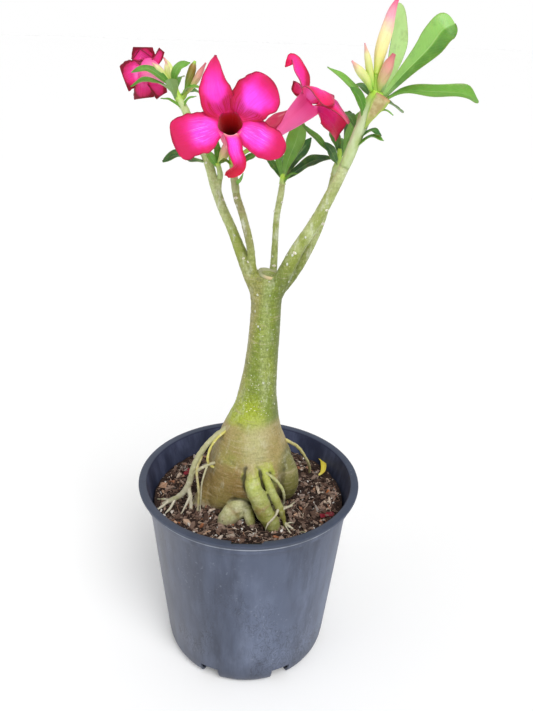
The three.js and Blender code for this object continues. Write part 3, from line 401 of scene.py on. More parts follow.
def potFinish(name, values, inside):
    colour, zones, slot = values["colour"], values["zones"], values["pocket"]
    plastic = Finish(name, {"Roughness": 0.42, "Specular IOR Level": 0.22 if inside else 0.45}, colour)
    streaks = plastic.grain(34, 5, plastic.place(1, 1, 0.14), 0.66)
    clouds = plastic.grain(40, 5, plastic.place(1, 1, 0.3), 0.66)
    x, y, height = plastic.axes()
    # the inside is the same plastic as the outside, painted in darker colours: painted shade
    if inside:
        shade = plastic.blend(clouds.rise(0.35, 0.75), "inside", "insidePale")
    else:
        shade = plastic.blend(streaks.rise(0.34, 0.6), "dark", "wall")
        shade = shade.under(clouds.rise(0.42, 0.72) * 0.6, "pale")
        # the pot's left side is painted paler: a painted sheen
        shade = shade.under((x * -1).rise(0.02, 0.08) * 0.35, "haze")
        shade = shade.under(plastic.grain(9, 2).fall(0.3, 0.6) * 0.45, "dark")
        shade = shade.under(height.fall(*zones["foot"]) * 0.62, "dark")
        shade = shade.under(height.rise(*zones["lip"]) * 0.8, "lip")
        # a thin pale band painted just under the lip: a painted highlight, as of a ledge catching the light
        ledgeHighlight = height.rise(*zones["ledgeHighlightFoot"]) * height.fall(*zones["ledgeHighlightTop"])
        shade = shade.under(ledgeHighlight * (0.35 + 0.5 * streaks.rise(0.4, 0.6)), "scuff")
        scratch = abs(plastic.grain(120, 6, plastic.place(1, 1, 0.5), 0.5, 3.0) - 0.5)
        mask = scratch.fall(0.0, 0.05) * plastic.grain(18, 2).rise(0.46, 0.6)
        shade = shade.under(mask * (1 - height.rise(*zones["scratchTop"]) * 0.6) * 0.5, "deep")
        band = abs(x + 0.022 + (clouds - 0.5) * 0.03).fall(0.006, 0.018) * height.rise(*zones["bandFoot"])
        shade = shade.under(band * height.fall(*zones["bandTop"]) * 0.3, "dark")
        dust = plastic.grain(300, 4).rise(0.6, 0.78) * plastic.grain(15, 2).rise(0.45, 0.7)
        shade = shade.under(dust * 0.45, "scuff")
    # the lip's inner bevel is painted in the inside's dark colour: painted shade over the light the bevel would
    # catch
    inward = (x * x + y * y).fall(0.0087, 0.0088)  # within the lip's inner edge
    shade = shade.under(inward * height.rise(*zones["innerLip"]) * 0.8, "inside")
    # the label slot is painted near black: painted shadow in the slot
    pocket = (slot["half"] - abs(x + slot["middle"])).rise(0, 0.0002) * (y * -1).rise(*slot["from"])
    shade = shade.under(pocket * (y * -1).fall(*slot["to"]) * height.rise(*zones["pocket"]), "deep")
    plastic.give("Base Color", shade)
    plastic.give("Roughness", 0.36 + 0.22 * clouds)
    plastic.bump(plastic.grain(70, 4, plastic.place(1, 1, 0.35)) + plastic.grain(900, 2) * 0.12, 0.0006, 0.5)
    return plastic


def addBox(cutters, size, turn, shift):  # a box in millimetres, shifted and then turned about the pot's middle
    box = bmesh.new()
    bmesh.ops.create_cube(box, size=1)
    bmesh.ops.scale(box, vec=Vector(size) * mm, verts=box.verts)
    bmesh.ops.translate(box, vec=Vector(shift) * mm, verts=box.verts)
    bmesh.ops.rotate(box, cent=(0, 0, 0), matrix=Matrix.Rotation(turn, 3, "Z"), verts=box.verts)
    part = bpy.data.meshes.new("box")
    box.to_mesh(part)
    cutters.from_mesh(part)


def evaluated(piece):  # the piece's mesh with its modifiers applied, in place of the piece
    bpy.context.view_layer.update()
    mesh = bpy.data.meshes.new_from_object(piece.evaluated_get(bpy.context.evaluated_depsgraph_get()))
    bpy.data.objects.remove(piece)
    return mesh


def makePot(values):
    shape = Shape()
    profile = values["outer"] + values["inner"]
    rows = [[shape.point(Vector((radius * math.cos(angle), radius * math.sin(angle), height)) * mm)
             for angle in turns(values["sides"])] for radius, height in profile[1:-1]]
    for at, pair in enumerate(zip(rows, rows[1:])):
        shape.grid(pair, closed=True, slot=1 if at + 2 >= len(values["outer"]) else 0)
    shape.face(*reversed(rows[0]), slot=0)
    shape.face(*rows[-1], slot=1)
    mesh = shape.mesh("potShell")
    for finish in (potFinish("potPlastic", values, False), potFinish("potInsideShaded", values, True)):
        mesh.materials.append(finish.material)
    cutters = bmesh.new()
    notch, slot = values["notch"], values["labelSlot"]
    for count in range(notch["count"]):
        addBox(cutters, (notch["width"], 2 * notch["depth"], 2 * notch["height"]),
               2 * math.pi * (count + 0.5) / notch["count"], (0, -(notch["foot"] + notch["depth"]), 0))
    for turn in slot["turns"]:
        for size, shift in slot["boxes"]:
            addBox(cutters, size, turn, shift)
    cutMesh = bpy.data.meshes.new("cuts")
    cutters.to_mesh(cutMesh)
    shell, cuts = addObject("potShell", mesh), addObject("cuts", cutMesh)
    cut = shell.modifiers.new("cut", "BOOLEAN")
    cut.operation, cut.object, cut.solver, cut.use_self = "DIFFERENCE", cuts, "EXACT", True
    finished = evaluated(shell)
    bpy.data.objects.remove(cuts)
    finished.polygons.foreach_set("use_smooth", [True] * len(finished.polygons))
    settle("nurseryPot", finished, [], "pot_plastic", "pot")
    finished.set_sharp_from_angle(angle=math.radians(values["sharp"]))


makePot(potValues)
print("pot made")

# The potting mix: a mounded bed with bark chips, grit and fibres on it

mixValues = {
    "seed": 11,
    "height": 159,
    "radius": 86.7,
    "foot": 150,
    "rings": 58,
    "sides": 190,
    "edge": 8,
    "clear": 0.08,  # share of the bed's middle that stays free of loose pieces
    "bedTone": (0.12, 0.16),
    "wallTone": 0.1,
    "chip": {"corners": 11, "reach": (0.82, 1.1), "width": (0.42, 0.62), "depth": 0.7, "tilt": (0.5, 0.45),
             "lift": (-0.1, 0.42)},
    "small": 2.2,  # the higher, the more of the pieces are small
    "chips": {"count": 2200, "length": (3.0, 11), "flat": 0.55, "brown": (0.1, 0.6), "grey": (0.62, 0.92)},
    "brown": 0.78,  # share of the chips that are brown
    "dust": {"count": 2600, "length": (1.0, 3.0), "flat": 0.8, "tones": (0.02, 0.6)},
    "grit": {"count": 300, "length": (1.3, 4.8), "flat": 0.85, "tones": (0.92, 1.0)},
    "fibres": {"count": 260, "length": (5, 16), "radius": 0.22, "bend": 0.25, "lift": (0.3, 2.2),
               "tones": (0.45, 0.9)},
    "bigFlat": 0.5,
    "bigChips": [((-82, 6, 161.5), 15, 0.83), ((52, -62, 161), 11, 0.78), ((-24, -56, 162), 10, 0.6),
                 ((74, 2, 161), 12, 0.8), ((-40, -66, 161), 9, 0.45)],
    "dark": "241a15",
    "pale": "b8a392",
    "colours": [(0.0, "1a1210"), (0.2, "3e2d26"), (0.36, "735a4c"), (0.5, "9a8476"),
                (0.58, "5a4238"), (0.66, "b49c8a"), (0.74, "98908a"), (0.8, "a46238"),
                (0.86, "cdb49c"), (0.92, "d2cbc2"), (1.0, "eae6e0")],
}


def swell(x, y):  # the same low swells as the solid's
    return 1.3 * math.sin(x / 11 + 1) * math.cos(y / 13) + 0.9 * math.sin((x + 2 * y) / 9)


def bedHeight(x, y, values):
    edge = step01(math.hypot(x, y), values["radius"] - values["edge"], values["radius"])
    rough = noise.noise(Vector((x, y, 3)) * 0.16) * 1.2 + noise.noise(Vector((x, y, 9)) * 0.5) * 0.5
    return values["height"] + swell(x, y) * (1 - edge) + rough


def mixFinish(values):
    mix = Finish("barkMix", {"Roughness": 0.9, "Specular IOR Level": 0.25}, values)
    grain = mix.grain(700, 4, None, 0.65)
    shade = mix.ramp(mix.mark("tone"), values["colours"]).under(grain.rise(0.42, 0.78) * 0.48, "dark")
    mix.give("Base Color", shade.under(mix.grain(260, 3).rise(0.58, 0.8) * 0.3, "pale"))
    mix.bump(grain + mix.grain(1900, 2) * 0.4, 0.0009, 0.8)
    return mix


def addChip(shape, draw, centre, length, flat, tone):
    hull, chip = bmesh.new(), mixValues["chip"]
    for corner in range(chip["corners"]):
        spot = Vector([draw.uniform(-1, 1) for axis in range(3)]).normalized() * draw.uniform(*chip["reach"])
        hull.verts.new((spot.x * length / 2, spot.y * length / 2 * draw.uniform(*chip["width"]),
                        spot.z * length / 2 * flat * chip["depth"]))
    bmesh.ops.convex_hull(hull, input=hull.verts)
    turn = Matrix.Rotation(draw.uniform(0, 2 * math.pi), 3, "Z")
    for tilt, axis in zip(chip["tilt"], "XY"):
        turn = turn @ Matrix.Rotation(draw.gauss(0, tilt), 3, axis)
    spots = {}
    for face in hull.faces:
        corners = []
        for vertex in face.verts:
            if vertex not in spots:
                spots[vertex] = shape.point((turn @ vertex.co + Vector(centre)) * mm, tone=tone)
            corners.append(spots[vertex])
        shape.face(*corners)
    hull.free()


def makeMix(values):
    draw = random.Random(values["seed"])
    finish = mixFinish(values)
    shape = Shape()
    rows = []
    for ring in range(1, values["rings"] + 1):
        radius = values["radius"] * ring / values["rings"]
        row = []
        for angle in turns(values["sides"]):
            x, y = radius * math.cos(angle), radius * math.sin(angle)
            tone = values["bedTone"][0] + values["bedTone"][1] * noise.noise(Vector((x, y, 0)) * 0.3)
            row.append(shape.point(Vector((x, y, bedHeight(x, y, values))) * mm, tone=tone))
        rows.append(row)
    wall = values["radius"]
    wallPoints = (Vector((wall * math.cos(angle), wall * math.sin(angle), values["foot"]))
                  for angle in turns(values["sides"]))
    rows.append([shape.point(spot * mm, tone=values["wallTone"]) for spot in wallPoints])
    shape.solid(rows, flip=True)
    shape.build("mixBed", [finish], "potting_mix", "potting_mix")
    loose = Shape()
    for kind in ("chips", "dust", "grit"):
        low, high = values[kind]["length"]
        flat = values[kind]["flat"]
        for count in range(values[kind]["count"]):
            length = low + (high - low) * draw.random() ** values["small"]
            radius = (values["radius"] - 0.55 * length) * math.sqrt(draw.uniform(values["clear"], 1))
            angle = draw.uniform(0, 2 * math.pi)
            x, y = radius * math.cos(angle), radius * math.sin(angle)
            tones = {other: draw.uniform(*values[other]["tones"]) for other in ("grit", "dust")}
            if kind == "chips":
                colour = "brown" if draw.random() < values["brown"] else "grey"
                tones[kind] = draw.uniform(*values[kind][colour])
            lift = draw.uniform(*values["chip"]["lift"]) * length * flat
            addChip(loose, draw, (x, y, bedHeight(x, y, values) + lift), length, flat, tones[kind])
    for centre, length, tone in values["bigChips"]:
        addChip(loose, draw, centre, length, values["bigFlat"], tone)
    loose.build("barkChips", [finish], "potting_mix", smooth=False)
    threads = Shape()
    fibres = values["fibres"]
    for count in range(fibres["count"]):
        length = draw.uniform(*fibres["length"])
        radius = (values["radius"] - length / 2 - 1) * math.sqrt(draw.uniform(0.1, 1))
        angle, heading = draw.uniform(0, 2 * math.pi), draw.uniform(0, 2 * math.pi)
        spine = []
        for part in range(4):
            x = radius * math.cos(angle) + length * (part / 3 - 0.5) * math.cos(heading)
            y = radius * math.sin(angle) + length * (part / 3 - 0.5) * math.sin(heading)
            heading += draw.uniform(-fibres["bend"], fibres["bend"])
            spine.append((x, y, bedHeight(x, y, values) + draw.uniform(*fibres["lift"])))
        addRod(threads, spine, [fibres["radius"]] * 3, sides=5, steps=7, tone=draw.uniform(*fibres["tones"]))
    threads.build("fibres", [finish], "potting_mix")


makeMix(mixValues)
print("potting mix made")

# The plant's body: swollen base, trunk, roots and bare branches

# each branch: points along it, radii, and the share of it that is bare
stems = {
    "left": ([[8, 0, 350], [4, 0, 362], [-3, 0, 375], [-11, 0, 393], [-18, 2, 410], [-26, 4, 427], [-31, 6, 441],
              [-37, 8, 461], [-46, 12, 478], [-53, 16, 494], [-59, 18, 504], [-63, 19.5, 512]],
              [8.2, 7.8, 6.4, 4.7, 4.0, 3.9, 3.9, 3.6, 3.4, 3.1, 3, 2.4], 0.818),
    "leftTwig": ([[-28, 5, 434], [-28, 5, 442], [-27, 4, 451], [-29, 2, 460]], [2.6, 2.4, 2.2, 1.8], 0.55),
    "flower": ([[6, -3, 362], [0, -4, 376], [-3, -8, 399], [-9, -10, 423], [-14, -10, 438], [-16, -8, 453],
                [-18, -7, 465]], [4.5, 3.6, 3.2, 3.1, 3, 2.8, 2.3], 0.7),
    "centre": ([[13, 6, 355], [16, 11, 371], [17, 16, 393], [18, 20, 417], [21, 22, 436], [22, 24, 449]],
                [4.5, 3.4, 2.8, 2.7, 2.7, 2.3], 0.88),
    "right": ([[14, -2, 355], [22, -5, 369], [33, -8, 395], [45, -12, 417], [56, -16, 441], [65, -20, 464],
               [72, -24, 486], [79, -28, 507], [83, -30, 516]], [9.4, 7.2, 5.4, 4.8, 4.4, 4, 4.2, 5.4, 4.4], 0.63),
    "backRight": ([[15, 2, 352], [26, 5, 362], [39, 10, 380], [52, 16, 408], [58, 18, 430], [62, 18, 450],
                   [66, 18, 470]], [5, 4, 3.4, 3.2, 3, 3, 2.3], 0.84),
}
trunk = ([[0, 8, 118], [0, 8, 138], [0, 7, 156], [0, 5, 166], [0, 3, 173], [1, 1, 180], [1.5, 0, 190],
          [1.5, 0, 202], [1.5, 0, 214], [2, 0, 227], [3.5, 0, 240], [5, 0, 252], [6, 0, 268], [8, 0, 290],
          [10, 0, 318], [11, 0, 346], [11, 0, 358], [11, 0, 370]],
         [10, 15, 19, 24, 30, 35.6, 38.4, 36.6, 33, 27.8, 23, 19.3, 16.3, 14.2, 13, 12.5, 13.4, 13])
# each root: points along it and radii, here and in the two tables below
roots = [
    ([[-13, -5, 190], [-24, -8, 177], [-33, -10, 167], [-42, -12, 157], [-48, -12, 146]], [23, 18, 13.6, 10, 6]),
    ([[-4, -7, 198], [-12, -10, 185], [-20, -12, 174], [-27, -13, 164], [-32, -13, 154]], [30, 26, 20, 14, 8]),
    ([[22, -3, 214], [28, -9, 200], [31.5, -12, 187], [32.5, -9, 175], [32, -1, 161], [31, 4, 147]],
     [9, 12.5, 13.2, 11.2, 7.4, 4]),
    ([[14, 22, 196], [22, 34, 176], [28, 44, 158], [32, 50, 138]], [12, 13, 11, 6]),
    ([[-18, 22, 196], [-27, 33, 176], [-33, 42, 158], [-36, 48, 138]], [12, 13, 10, 6]),
    ([[2, -30, 212], [3, -37, 203], [4, -42, 195], [9, -45.5, 186], [14, -48, 175], [19.5, -48.5, 166],
     [22, -47, 157], [23, -45, 145]], [4, 6.2, 7.3, 7.6, 7.6, 7.2, 6.4, 3.6]),
    ([[11, -29, 209], [14, -34, 203], [18.5, -39, 193], [23.3, -42, 184], [27.5, -44, 176], [30.5, -45.5, 168],
     [32.5, -47, 160], [34, -48, 152]], [2.4, 3.4, 3.9, 4, 3.8, 2.4, 1.7, 1.2]),
    ([[2, -20, 179], [-4, -29, 173.5], [-10, -34.5, 168.5], [-16, -38.5, 164], [-21, -41, 158], [-23, -42, 149]],
     [5, 7.6, 8.8, 8.4, 6.6, 3]),
    ([[-4, -33, 172], [-0.5, -37, 169], [1, -41, 165], [2, -43, 160], [3, -43, 152]], [3.4, 4, 4.3, 4.2, 3]),
]
# the thin ones that hang in the air, each with a tone for its colour
thinRoots = [
    ([[-13, -4, 238], [-25, -9, 231], [-35, -14, 224], [-43, -16, 213], [-49, -18, 200], [-53, -18, 184],
     [-59, -18, 172], [-68, -18, 165], [-79, -18, 159]], [2.6, 2.6, 2.4, 2.5, 2.6, 2.8, 2.6, 2.2, 1.4], 0.35),
    ([[-54, -18, 180], [-52, -22, 169], [-51, -27, 155]], [2, 2, 1.4], 0.3),
    ([[-15, -8, 236], [-28, -14, 228], [-35, -18, 217], [-36, -20, 206], [-30, -18, 199]],
     [1.3, 1.1, 1.1, 1.1, 1.2], 0.95),
    ([[-42, -16, 211], [-46, -20, 198], [-44, -25, 177], [-46, -28, 154]], [1.3, 1.2, 1.2, 1], 0.8),
    ([[9, -31, 207], [16, -34.5, 205], [23, -36, 200], [29, -38, 192], [31, -36, 182], [31, -29, 171],
     [31, -25, 157]], [1.3, 1.3, 1.3, 1.3, 1.2, 1.2, 1.2], 0.55),
    ([[22, 2, 222], [34, 1, 217], [44, 7, 207], [50, 14, 195], [55, 22, 182], [58, 30, 170], [59, 36, 159],
     [59, 38, 152]], [1.5, 1.5, 1.4, 1.4, 1.3, 1.3, 1.2, 1.2], 0.85),
    ([[27, -44, 176], [33, -43, 177], [38, -40.5, 177]], [1.3, 1.1, 0.8], 0.2),
    ([[32, -47, 163], [38, -50, 160], [44, -53, 156]], [1.4, 1.2, 1], 0.2),
    ([[26, -45, 177], [23, -53, 175], [19.5, -55.5, 172], [16.5, -56, 169]], [1.2, 1, 1, 0.8], 0.2),
]
rootHairs = [
    ([[28, -46, 175], [33, -44, 177.5], [37, -41, 178], [40, -41, 181]], [1.0, 0.7, 0.5, 0.25]),
    ([[33, -47, 162], [36, -46, 163], [41, -44, 161]], [0.8, 0.6, 0.3]),
    ([[32, -48, 163], [34, -53, 162], [37, -58, 160]], [0.9, 0.6, 0.3]),
    ([[43, -53, 158], [49, -55, 160], [52, -58, 159]], [0.8, 0.5, 0.25]),
    ([[17, -56.5, 169.5], [15.5, -57.5, 166], [15, -58, 163]], [0.7, 0.5, 0.3]),
    ([[-72, -18, 163], [-78, -24, 161], [-82, -28, 160]], [1.6, 1.1, 0.5]),
    ([[-70, -18, 164], [-77, -14, 162], [-83, -11, 160]], [1.4, 1.0, 0.4]),
    ([[-66, -18, 166], [-70, -26, 161], [-74, -31, 159]], [1.5, 1.1, 0.5]),
    ([[-52, -22, 172], [-57, -28, 163], [-60, -32, 159]], [1.2, 0.9, 0.5]),
    ([[-37, -21, 203], [-41, -27, 190], [-42, -29, 176], [-43, -30, 160]], [1.0, 0.8, 0.7, 0.5]),
    ([[-51, -18, 192], [-44, -20, 199], [-36, -20, 204], [-30, -18, 205]], [1.6, 1.5, 1.6, 1.4]),
]
stub = ([[11, 0, 342], [10.6, 0.4, 361], [12.4, 0.2, 374]], [10, 12, 9])
bodyValues = {
    "rods": {"trunk": {"sides": 72, "steps": 120}, "stub": {"sides": 40, "steps": 16},
             "root": {"sides": 36, "steps": 40}, "stem": {"sides": 28, "steps": 70},
             "thin": {"sides": 14, "rough": 0.5}, "hair": {"sides": 8, "steps": 18, "tone": 0.25, "rough": 0.35}},
    "voxel": 0.93,
    "relax": (0.5, 7),
    "soilCut": 0.149,
    # how far the bark stands out, and how much of that is left above the base
    "bumps": {"lump": 0.8, "wrinkle": 0.42, "fine": 0.12, "base": (0.2, 0.26), "above": (0.25, 0.3)},
    # how deep the folds lie, for the shade painted in them
    "crease": {"rounds": 20, "softening": 3, "depth": 0.0002, "from": 0.35, "span": 1.6},
    # which roots are lobes, with the distances in metres over which their colour fades out, and over which the
    # painted shade on the right lobe fades out
    "lobes": {"front": (5, 6, 7, 8), "right": 2, "below": 0.225, "reach": (0.0075, 0.0125),
              "rightReach": (0.013, 0.022)},
    "colour": {"base": "a4955c", "brown": "8a703c", "olive": "8c8c3c", "trunk": "6c8018", "leafy": "87952e",
               "bright": "9cab14", "stem": "c0ca90", "stemGreen": "929f48", "twig": "8a8058", "white": "e2e6d6",
               "bark": "b9ab8a", "dust": "8d7a66", "lobe": "a4ae5e", "line": "525a26", "crease": "35301a",
               "shadeLobe": "67672f", "sun": "b4c22c", "blaze": "cbc69c", "rust": "86683c", "knob": "cfd0a8",
               "foot": "cdc2ae"},
    # heights in metres at which a colour or mark begins and is full
    "zones": {"green": (0.236, 0.248), "ringFoot": (0.234, 0.242), "ringTop": (0.256, 0.276), "tanTop": (0.34, 0.42),
              "glint": (0.25, 0.27), "bellyHighlightFoot": (0.19, 0.21), "bellyHighlightTop": (0.235, 0.26), "sun": (0.192, 0.206),
              "knobTop": (0.174, 0.184), "lobeFoot": (0.152, 0.17), "lobeTop": (0.198, 0.216), "stem": (0.355, 0.42),
              "paleStem": (0.41, 0.48), "streaks": (0.36, 0.42), "smooth": (0.36, 0.4), "gapTop": (0.192, 0.212),
              "spots": (0.24, 0.256), "specks": (0.24, 0.26), "folds": (0.22, 0.3), "soil": (0.158, 0.168),
              "foot": (0.156, 0.17), "flowerStem": (0.385, 0.41)},
    # places across in metres, such as the middle of a stripe or where an edge's colour begins and is full
    "sides": {"ring": (0.002, 0.016), "tan": (0.007, 0.015), "glint": 0.0105, "edge": (0.016, 0.022), "blaze": 0.006,
              "knob": 0.004, "gap": 0.0278, "gapFront": (0.008, 0.016), "left": (0.012, 0.02),
              "foot": (0.022, 0.034)},
}


def flowerStem(finish, x, y, z):  # 1 on the thin brown branch that carries the front flower
    ahead = (y * -1).rise(0.003, 0.006) * x.fall(-0.002, 0.004)
    return ahead * z.rise(*bodyValues["zones"]["flowerStem"]) * (0.55 + 0.45 * finish.grain(110, 3).rise(0.35, 0.6))


def bodyFinish(values):
    zones, sides = values["zones"], values["sides"]
    bark = Finish("bark", {"Roughness": 0.5, "Specular IOR Level": 0.4, "Coat Weight": 0.08, "Coat Roughness": 0.35},
                  values["colour"])
    x, y, height = bark.axes()
    cloud = bark.grain(30, 4, None, 0.6, 0.6)
    shift = (cloud - 0.5) * 0.03
    level = height + shift  # height with an uneven edge
    lobes = bark.mark("tone")
    streak = bark.grain(170, 4, bark.place(1, 1, 0.3), 0.65)
    cross = bark.grain(210, 4, bark.place(0.3, 0.3, 2.6), 0.65)
    speck = bark.grain(620, 4, bark.place(1, 1, 0.7), 0.7)

    # the swollen base, brown and olive
    base = bark.blend(bark.grain(14, 3).rise(0.38, 0.66), "brown", "base")
    base = base.under(bark.grain(22, 3, None, 0.6).rise(0.5, 0.7) * 0.75, "olive")

    # the green trunk: brighter just over the base, tan at its left, a painted glint right of its middle, dark at its
    # right edge
    green = bark.blend(cloud.rise(0.36, 0.66), "trunk", "leafy")
    green = green.under(bark.grain(24, 2, bark.place(1, 1, 0.6)).rise(0.5, 0.68) * 0.8, "bright")
    left = ((height - 0.25) * 0.17 - x).rise(*sides["tan"]) * height.fall(*zones["tanTop"])
    green = green.under(left * 0.65, "base")
    ring = level.rise(*zones["ringFoot"]) * level.fall(*zones["ringTop"]) * x.fall(*sides["ring"])
    green = green.under(ring * 0.85, "bright")
    glint = abs(x - sides["glint"] + (cloud - 0.5) * 0.006).fall(0.001, 0.006) * height.rise(*zones["glint"])
    green = green.under(glint * 0.26, "stem").under(x.rise(*sides["edge"]) * 0.45, "line")
    shade = bark.blend((height + shift * 0.4).rise(*zones["green"]), base, green)
    # a pale stripe painted down the middle of the belly: a painted highlight; the same pale colour also mottles the
    # lobes
    blaze = abs(x - sides["blaze"] + shift * 0.25).fall(0.002, 0.018) * height.rise(*zones["bellyHighlightFoot"])
    blaze = blaze * height.fall(*zones["bellyHighlightTop"])
    shade = shade.under(blaze * 0.36, "blaze")

    # the lobes and the finger root in front
    lobe = bark.blend(bark.grain(34, 3).rise(0.42, 0.64), "olive", "lobe")
    lobe = lobe.under(bark.grain(90, 4, None, 0.65).rise(0.5, 0.72) * 0.6, "blaze")
    lobe = lobe.under(bark.grain(60, 4).fall(0.3, 0.46) * 0.6, "rust").under(level.rise(*zones["sun"]) * 0.6, "sun")
    knob = (x * -1 + sides["knob"]).rise(0.0, 0.006) * height.fall(*zones["knobTop"])
    lobe = lobe.under(knob * 0.7, "knob")
    lobe = lobe.under(knob * bark.grain(150, 4, None, 0.65).rise(0.5, 0.66) * 0.5, "olive")
    # the lobes are painted darker low down, and the right lobe darker all over: painted shade
    lobe = lobe.under(level.fall(*zones["lobeFoot"]) * 0.6, "shadeLobe")
    onLobe = (lobes + (cloud - 0.5) * 0.4).rise(0.6, 0.95) * (level + shift).fall(*zones["lobeTop"])
    shade = shade.under(onLobe * 0.9, lobe).under(bark.mark("across") * 0.85, "shadeLobe")

    # the branches
    stem = bark.blend(cloud.rise(0.4, 0.65), "stemGreen", "stem")
    shade = shade.under(level.rise(*zones["stem"]), stem).under(level.rise(*zones["paleStem"]) * 0.6, "stem")
    shade = shade.under(flowerStem(bark, x, y, height) * 0.75, "twig")

    # streaks, cross lines, painted shade in the folds and in the gap by the right lobe, spots and specks
    shade = shade.under(streak.rise(0.52, 0.68) * (0.16 + level.rise(*zones["streaks"]) * 0.4), "white")
    shade = shade.under(cross.rise(0.54, 0.7) * 0.45, "bark")
    smooth = height.rise(*zones["smooth"])
    shade = shade.under(cross.fall(0.3, 0.46) * (0.45 - smooth * 0.2), "line")
    # a dark strip painted in the gap between the finger root and the right lobe: painted shade
    gap = abs(x - sides["gap"] + shift * 0.08).fall(0.0012, 0.0052) * height.fall(*zones["gapTop"])
    gap = gap * (y * -1).rise(*sides["gapFront"]) * lobes.fall(0.55, 0.75)
    shade = shade.under(gap * 0.66, "crease")
    spots = bark.node("TexVoronoi", {"feature": "F1"}, {"Vector": bark.place(1, 1, 0.8), "Scale": 165})
    spot = spots.fall(0.12, 0.2) * (bark.grain(45, 2).rise(0.5, 0.6) * height.rise(*zones["spots"]))
    shade = shade.under(spot * 0.85, "white")
    above = level.rise(*zones["specks"])
    shade = shade.under(speck.rise(0.54, 0.72) * (0.14 + above * 0.16), "white")
    shade = shade.under(speck.fall(0.34, 0.56) * (0.26 + above * 0.28 - smooth * 0.26), "line")
    # the folds are painted darker with the crease colour: painted shade
    fold = bark.mark("along") * (0.9 - 0.6 * height.rise(*zones["folds"]))
    shade = shade.under(fold * (1 - (x * -1).rise(*sides["left"]) * 0.85), "crease")

    # dust from the mix, and the pale foot at the left
    soil = (height + (cloud - 0.5) * 0.02).fall(*zones["soil"]) * bark.grain(120, 3).rise(0.4, 0.6)
    shade = shade.under(soil * 0.6, "dust")
    foot = (x * -1).rise(*sides["foot"]) * (height + shift * 0.3).fall(*zones["foot"]) * streak.rise(0.36, 0.56)
    bark.give("Base Color", shade.under(foot * 0.65, "foot"))
    bark.give("Roughness", 0.42 + 0.2 * cloud)
    bark.bump(cross * 0.5 + streak * 0.35 + spot * 1.2 + speck * 0.5, 0.0008, 0.85)
    return bark


def bodyRough(spot, bumps):  # how far the bark stands out at a place, in metres
    low = 1 - step01(spot.z, *bumps["base"])
    lump = noise.noise(spot * 38) * 0.7 + noise.noise(spot * 85) * 0.3
    wrinkle = noise.noise(Vector((spot.x * 60, spot.y * 60, spot.z * 330)))
    lumps, wrinkles = bumps["above"]
    fine = noise.noise(spot * 420)
    return (lump * bumps["lump"] * (lumps + (1 - lumps) * low)
            + wrinkle * bumps["wrinkle"] * (wrinkles + (1 - wrinkles) * low) + fine * bumps["fine"]) * mm


scarValues = {
    "seed": 21,
    "dots": {"count": 190, "together": 5, "from": 0.652, "to": 0.87, "size": (0.25, 0.46), "rise": 0.35,
             "stretch": (1, 2.2), "reach": 60, "spread": (0.006, 1.0)},
    "stemScars": {"spacing": 14.0, "turn": 2.4, "size": (1.2, 1.9), "from": 0.17, "rise": 0.75, "dimple": 0.45,
                  "squash": 0.7, "reach": 14, "uneven": 0.3},
    # the sawn top of the stub: radius and height of its rings, then how it slopes to the right and to the back
    "cut": [(0.1, -1.7), (3, -1.5), (5.3, -0.9), (6.7, 0.1), (7.6, 0.75), (8.4, 0.8), (9, 0), (9.4, -1.7)],
    "cutSlope": (-0.24, 0.1),
    "cutSides": 32,
    "cutWave": 0.06,
    "cutRim": (5.6, 7.0),  # radii between which one side of the cut turns paler
    "rings": 5,
    "corners": 12,
    "colour": {"rim": "e4e3d3", "dot": "dfe0cc", "centre": "b8a98a", "cut": "c9b486", "inside": "9da07a"},
}


def scarFinish(colour):
    scar = Finish("scarSkin", {"Roughness": 0.6}, colour)
    grain = scar.grain(420, 4)
    stops = [(0.0, "inside"), (0.25, "cut"), (0.45, "centre"), (0.75, "rim"), (1.0, "dot")]
    scar.give("Base Color", scar.ramp(scar.mark("tone"), stops).under(grain.rise(0.5, 0.75) * 0.4, "centre"))
    scar.bump(grain, 0.0005, 0.7)
    return scar


def addDome(shape, spot, normal, up, width, height, rise, dimple):
    side = normal.cross(up).normalized()
    up = side.cross(normal)
    rows = []
    for ring in range(1, scarValues["rings"] + 1):
        part = ring / scarValues["rings"]
        lift = rise * (1 - part ** 2.4) - dimple * math.exp(-(part / 0.45) ** 2) - 0.25 * part
        tone = 1.0 if not dimple else 0.45 + 0.4 * step01(part, 0.25, 0.6)
        spots = (side * math.cos(angle) * width * part + up * math.sin(angle) * height * part + normal * lift
                 for angle in turns(scarValues["corners"]))
        rows.append([shape.point(spot + offset * mm, tone=tone) for offset in spots])
    shape.solid(rows, flip=True)


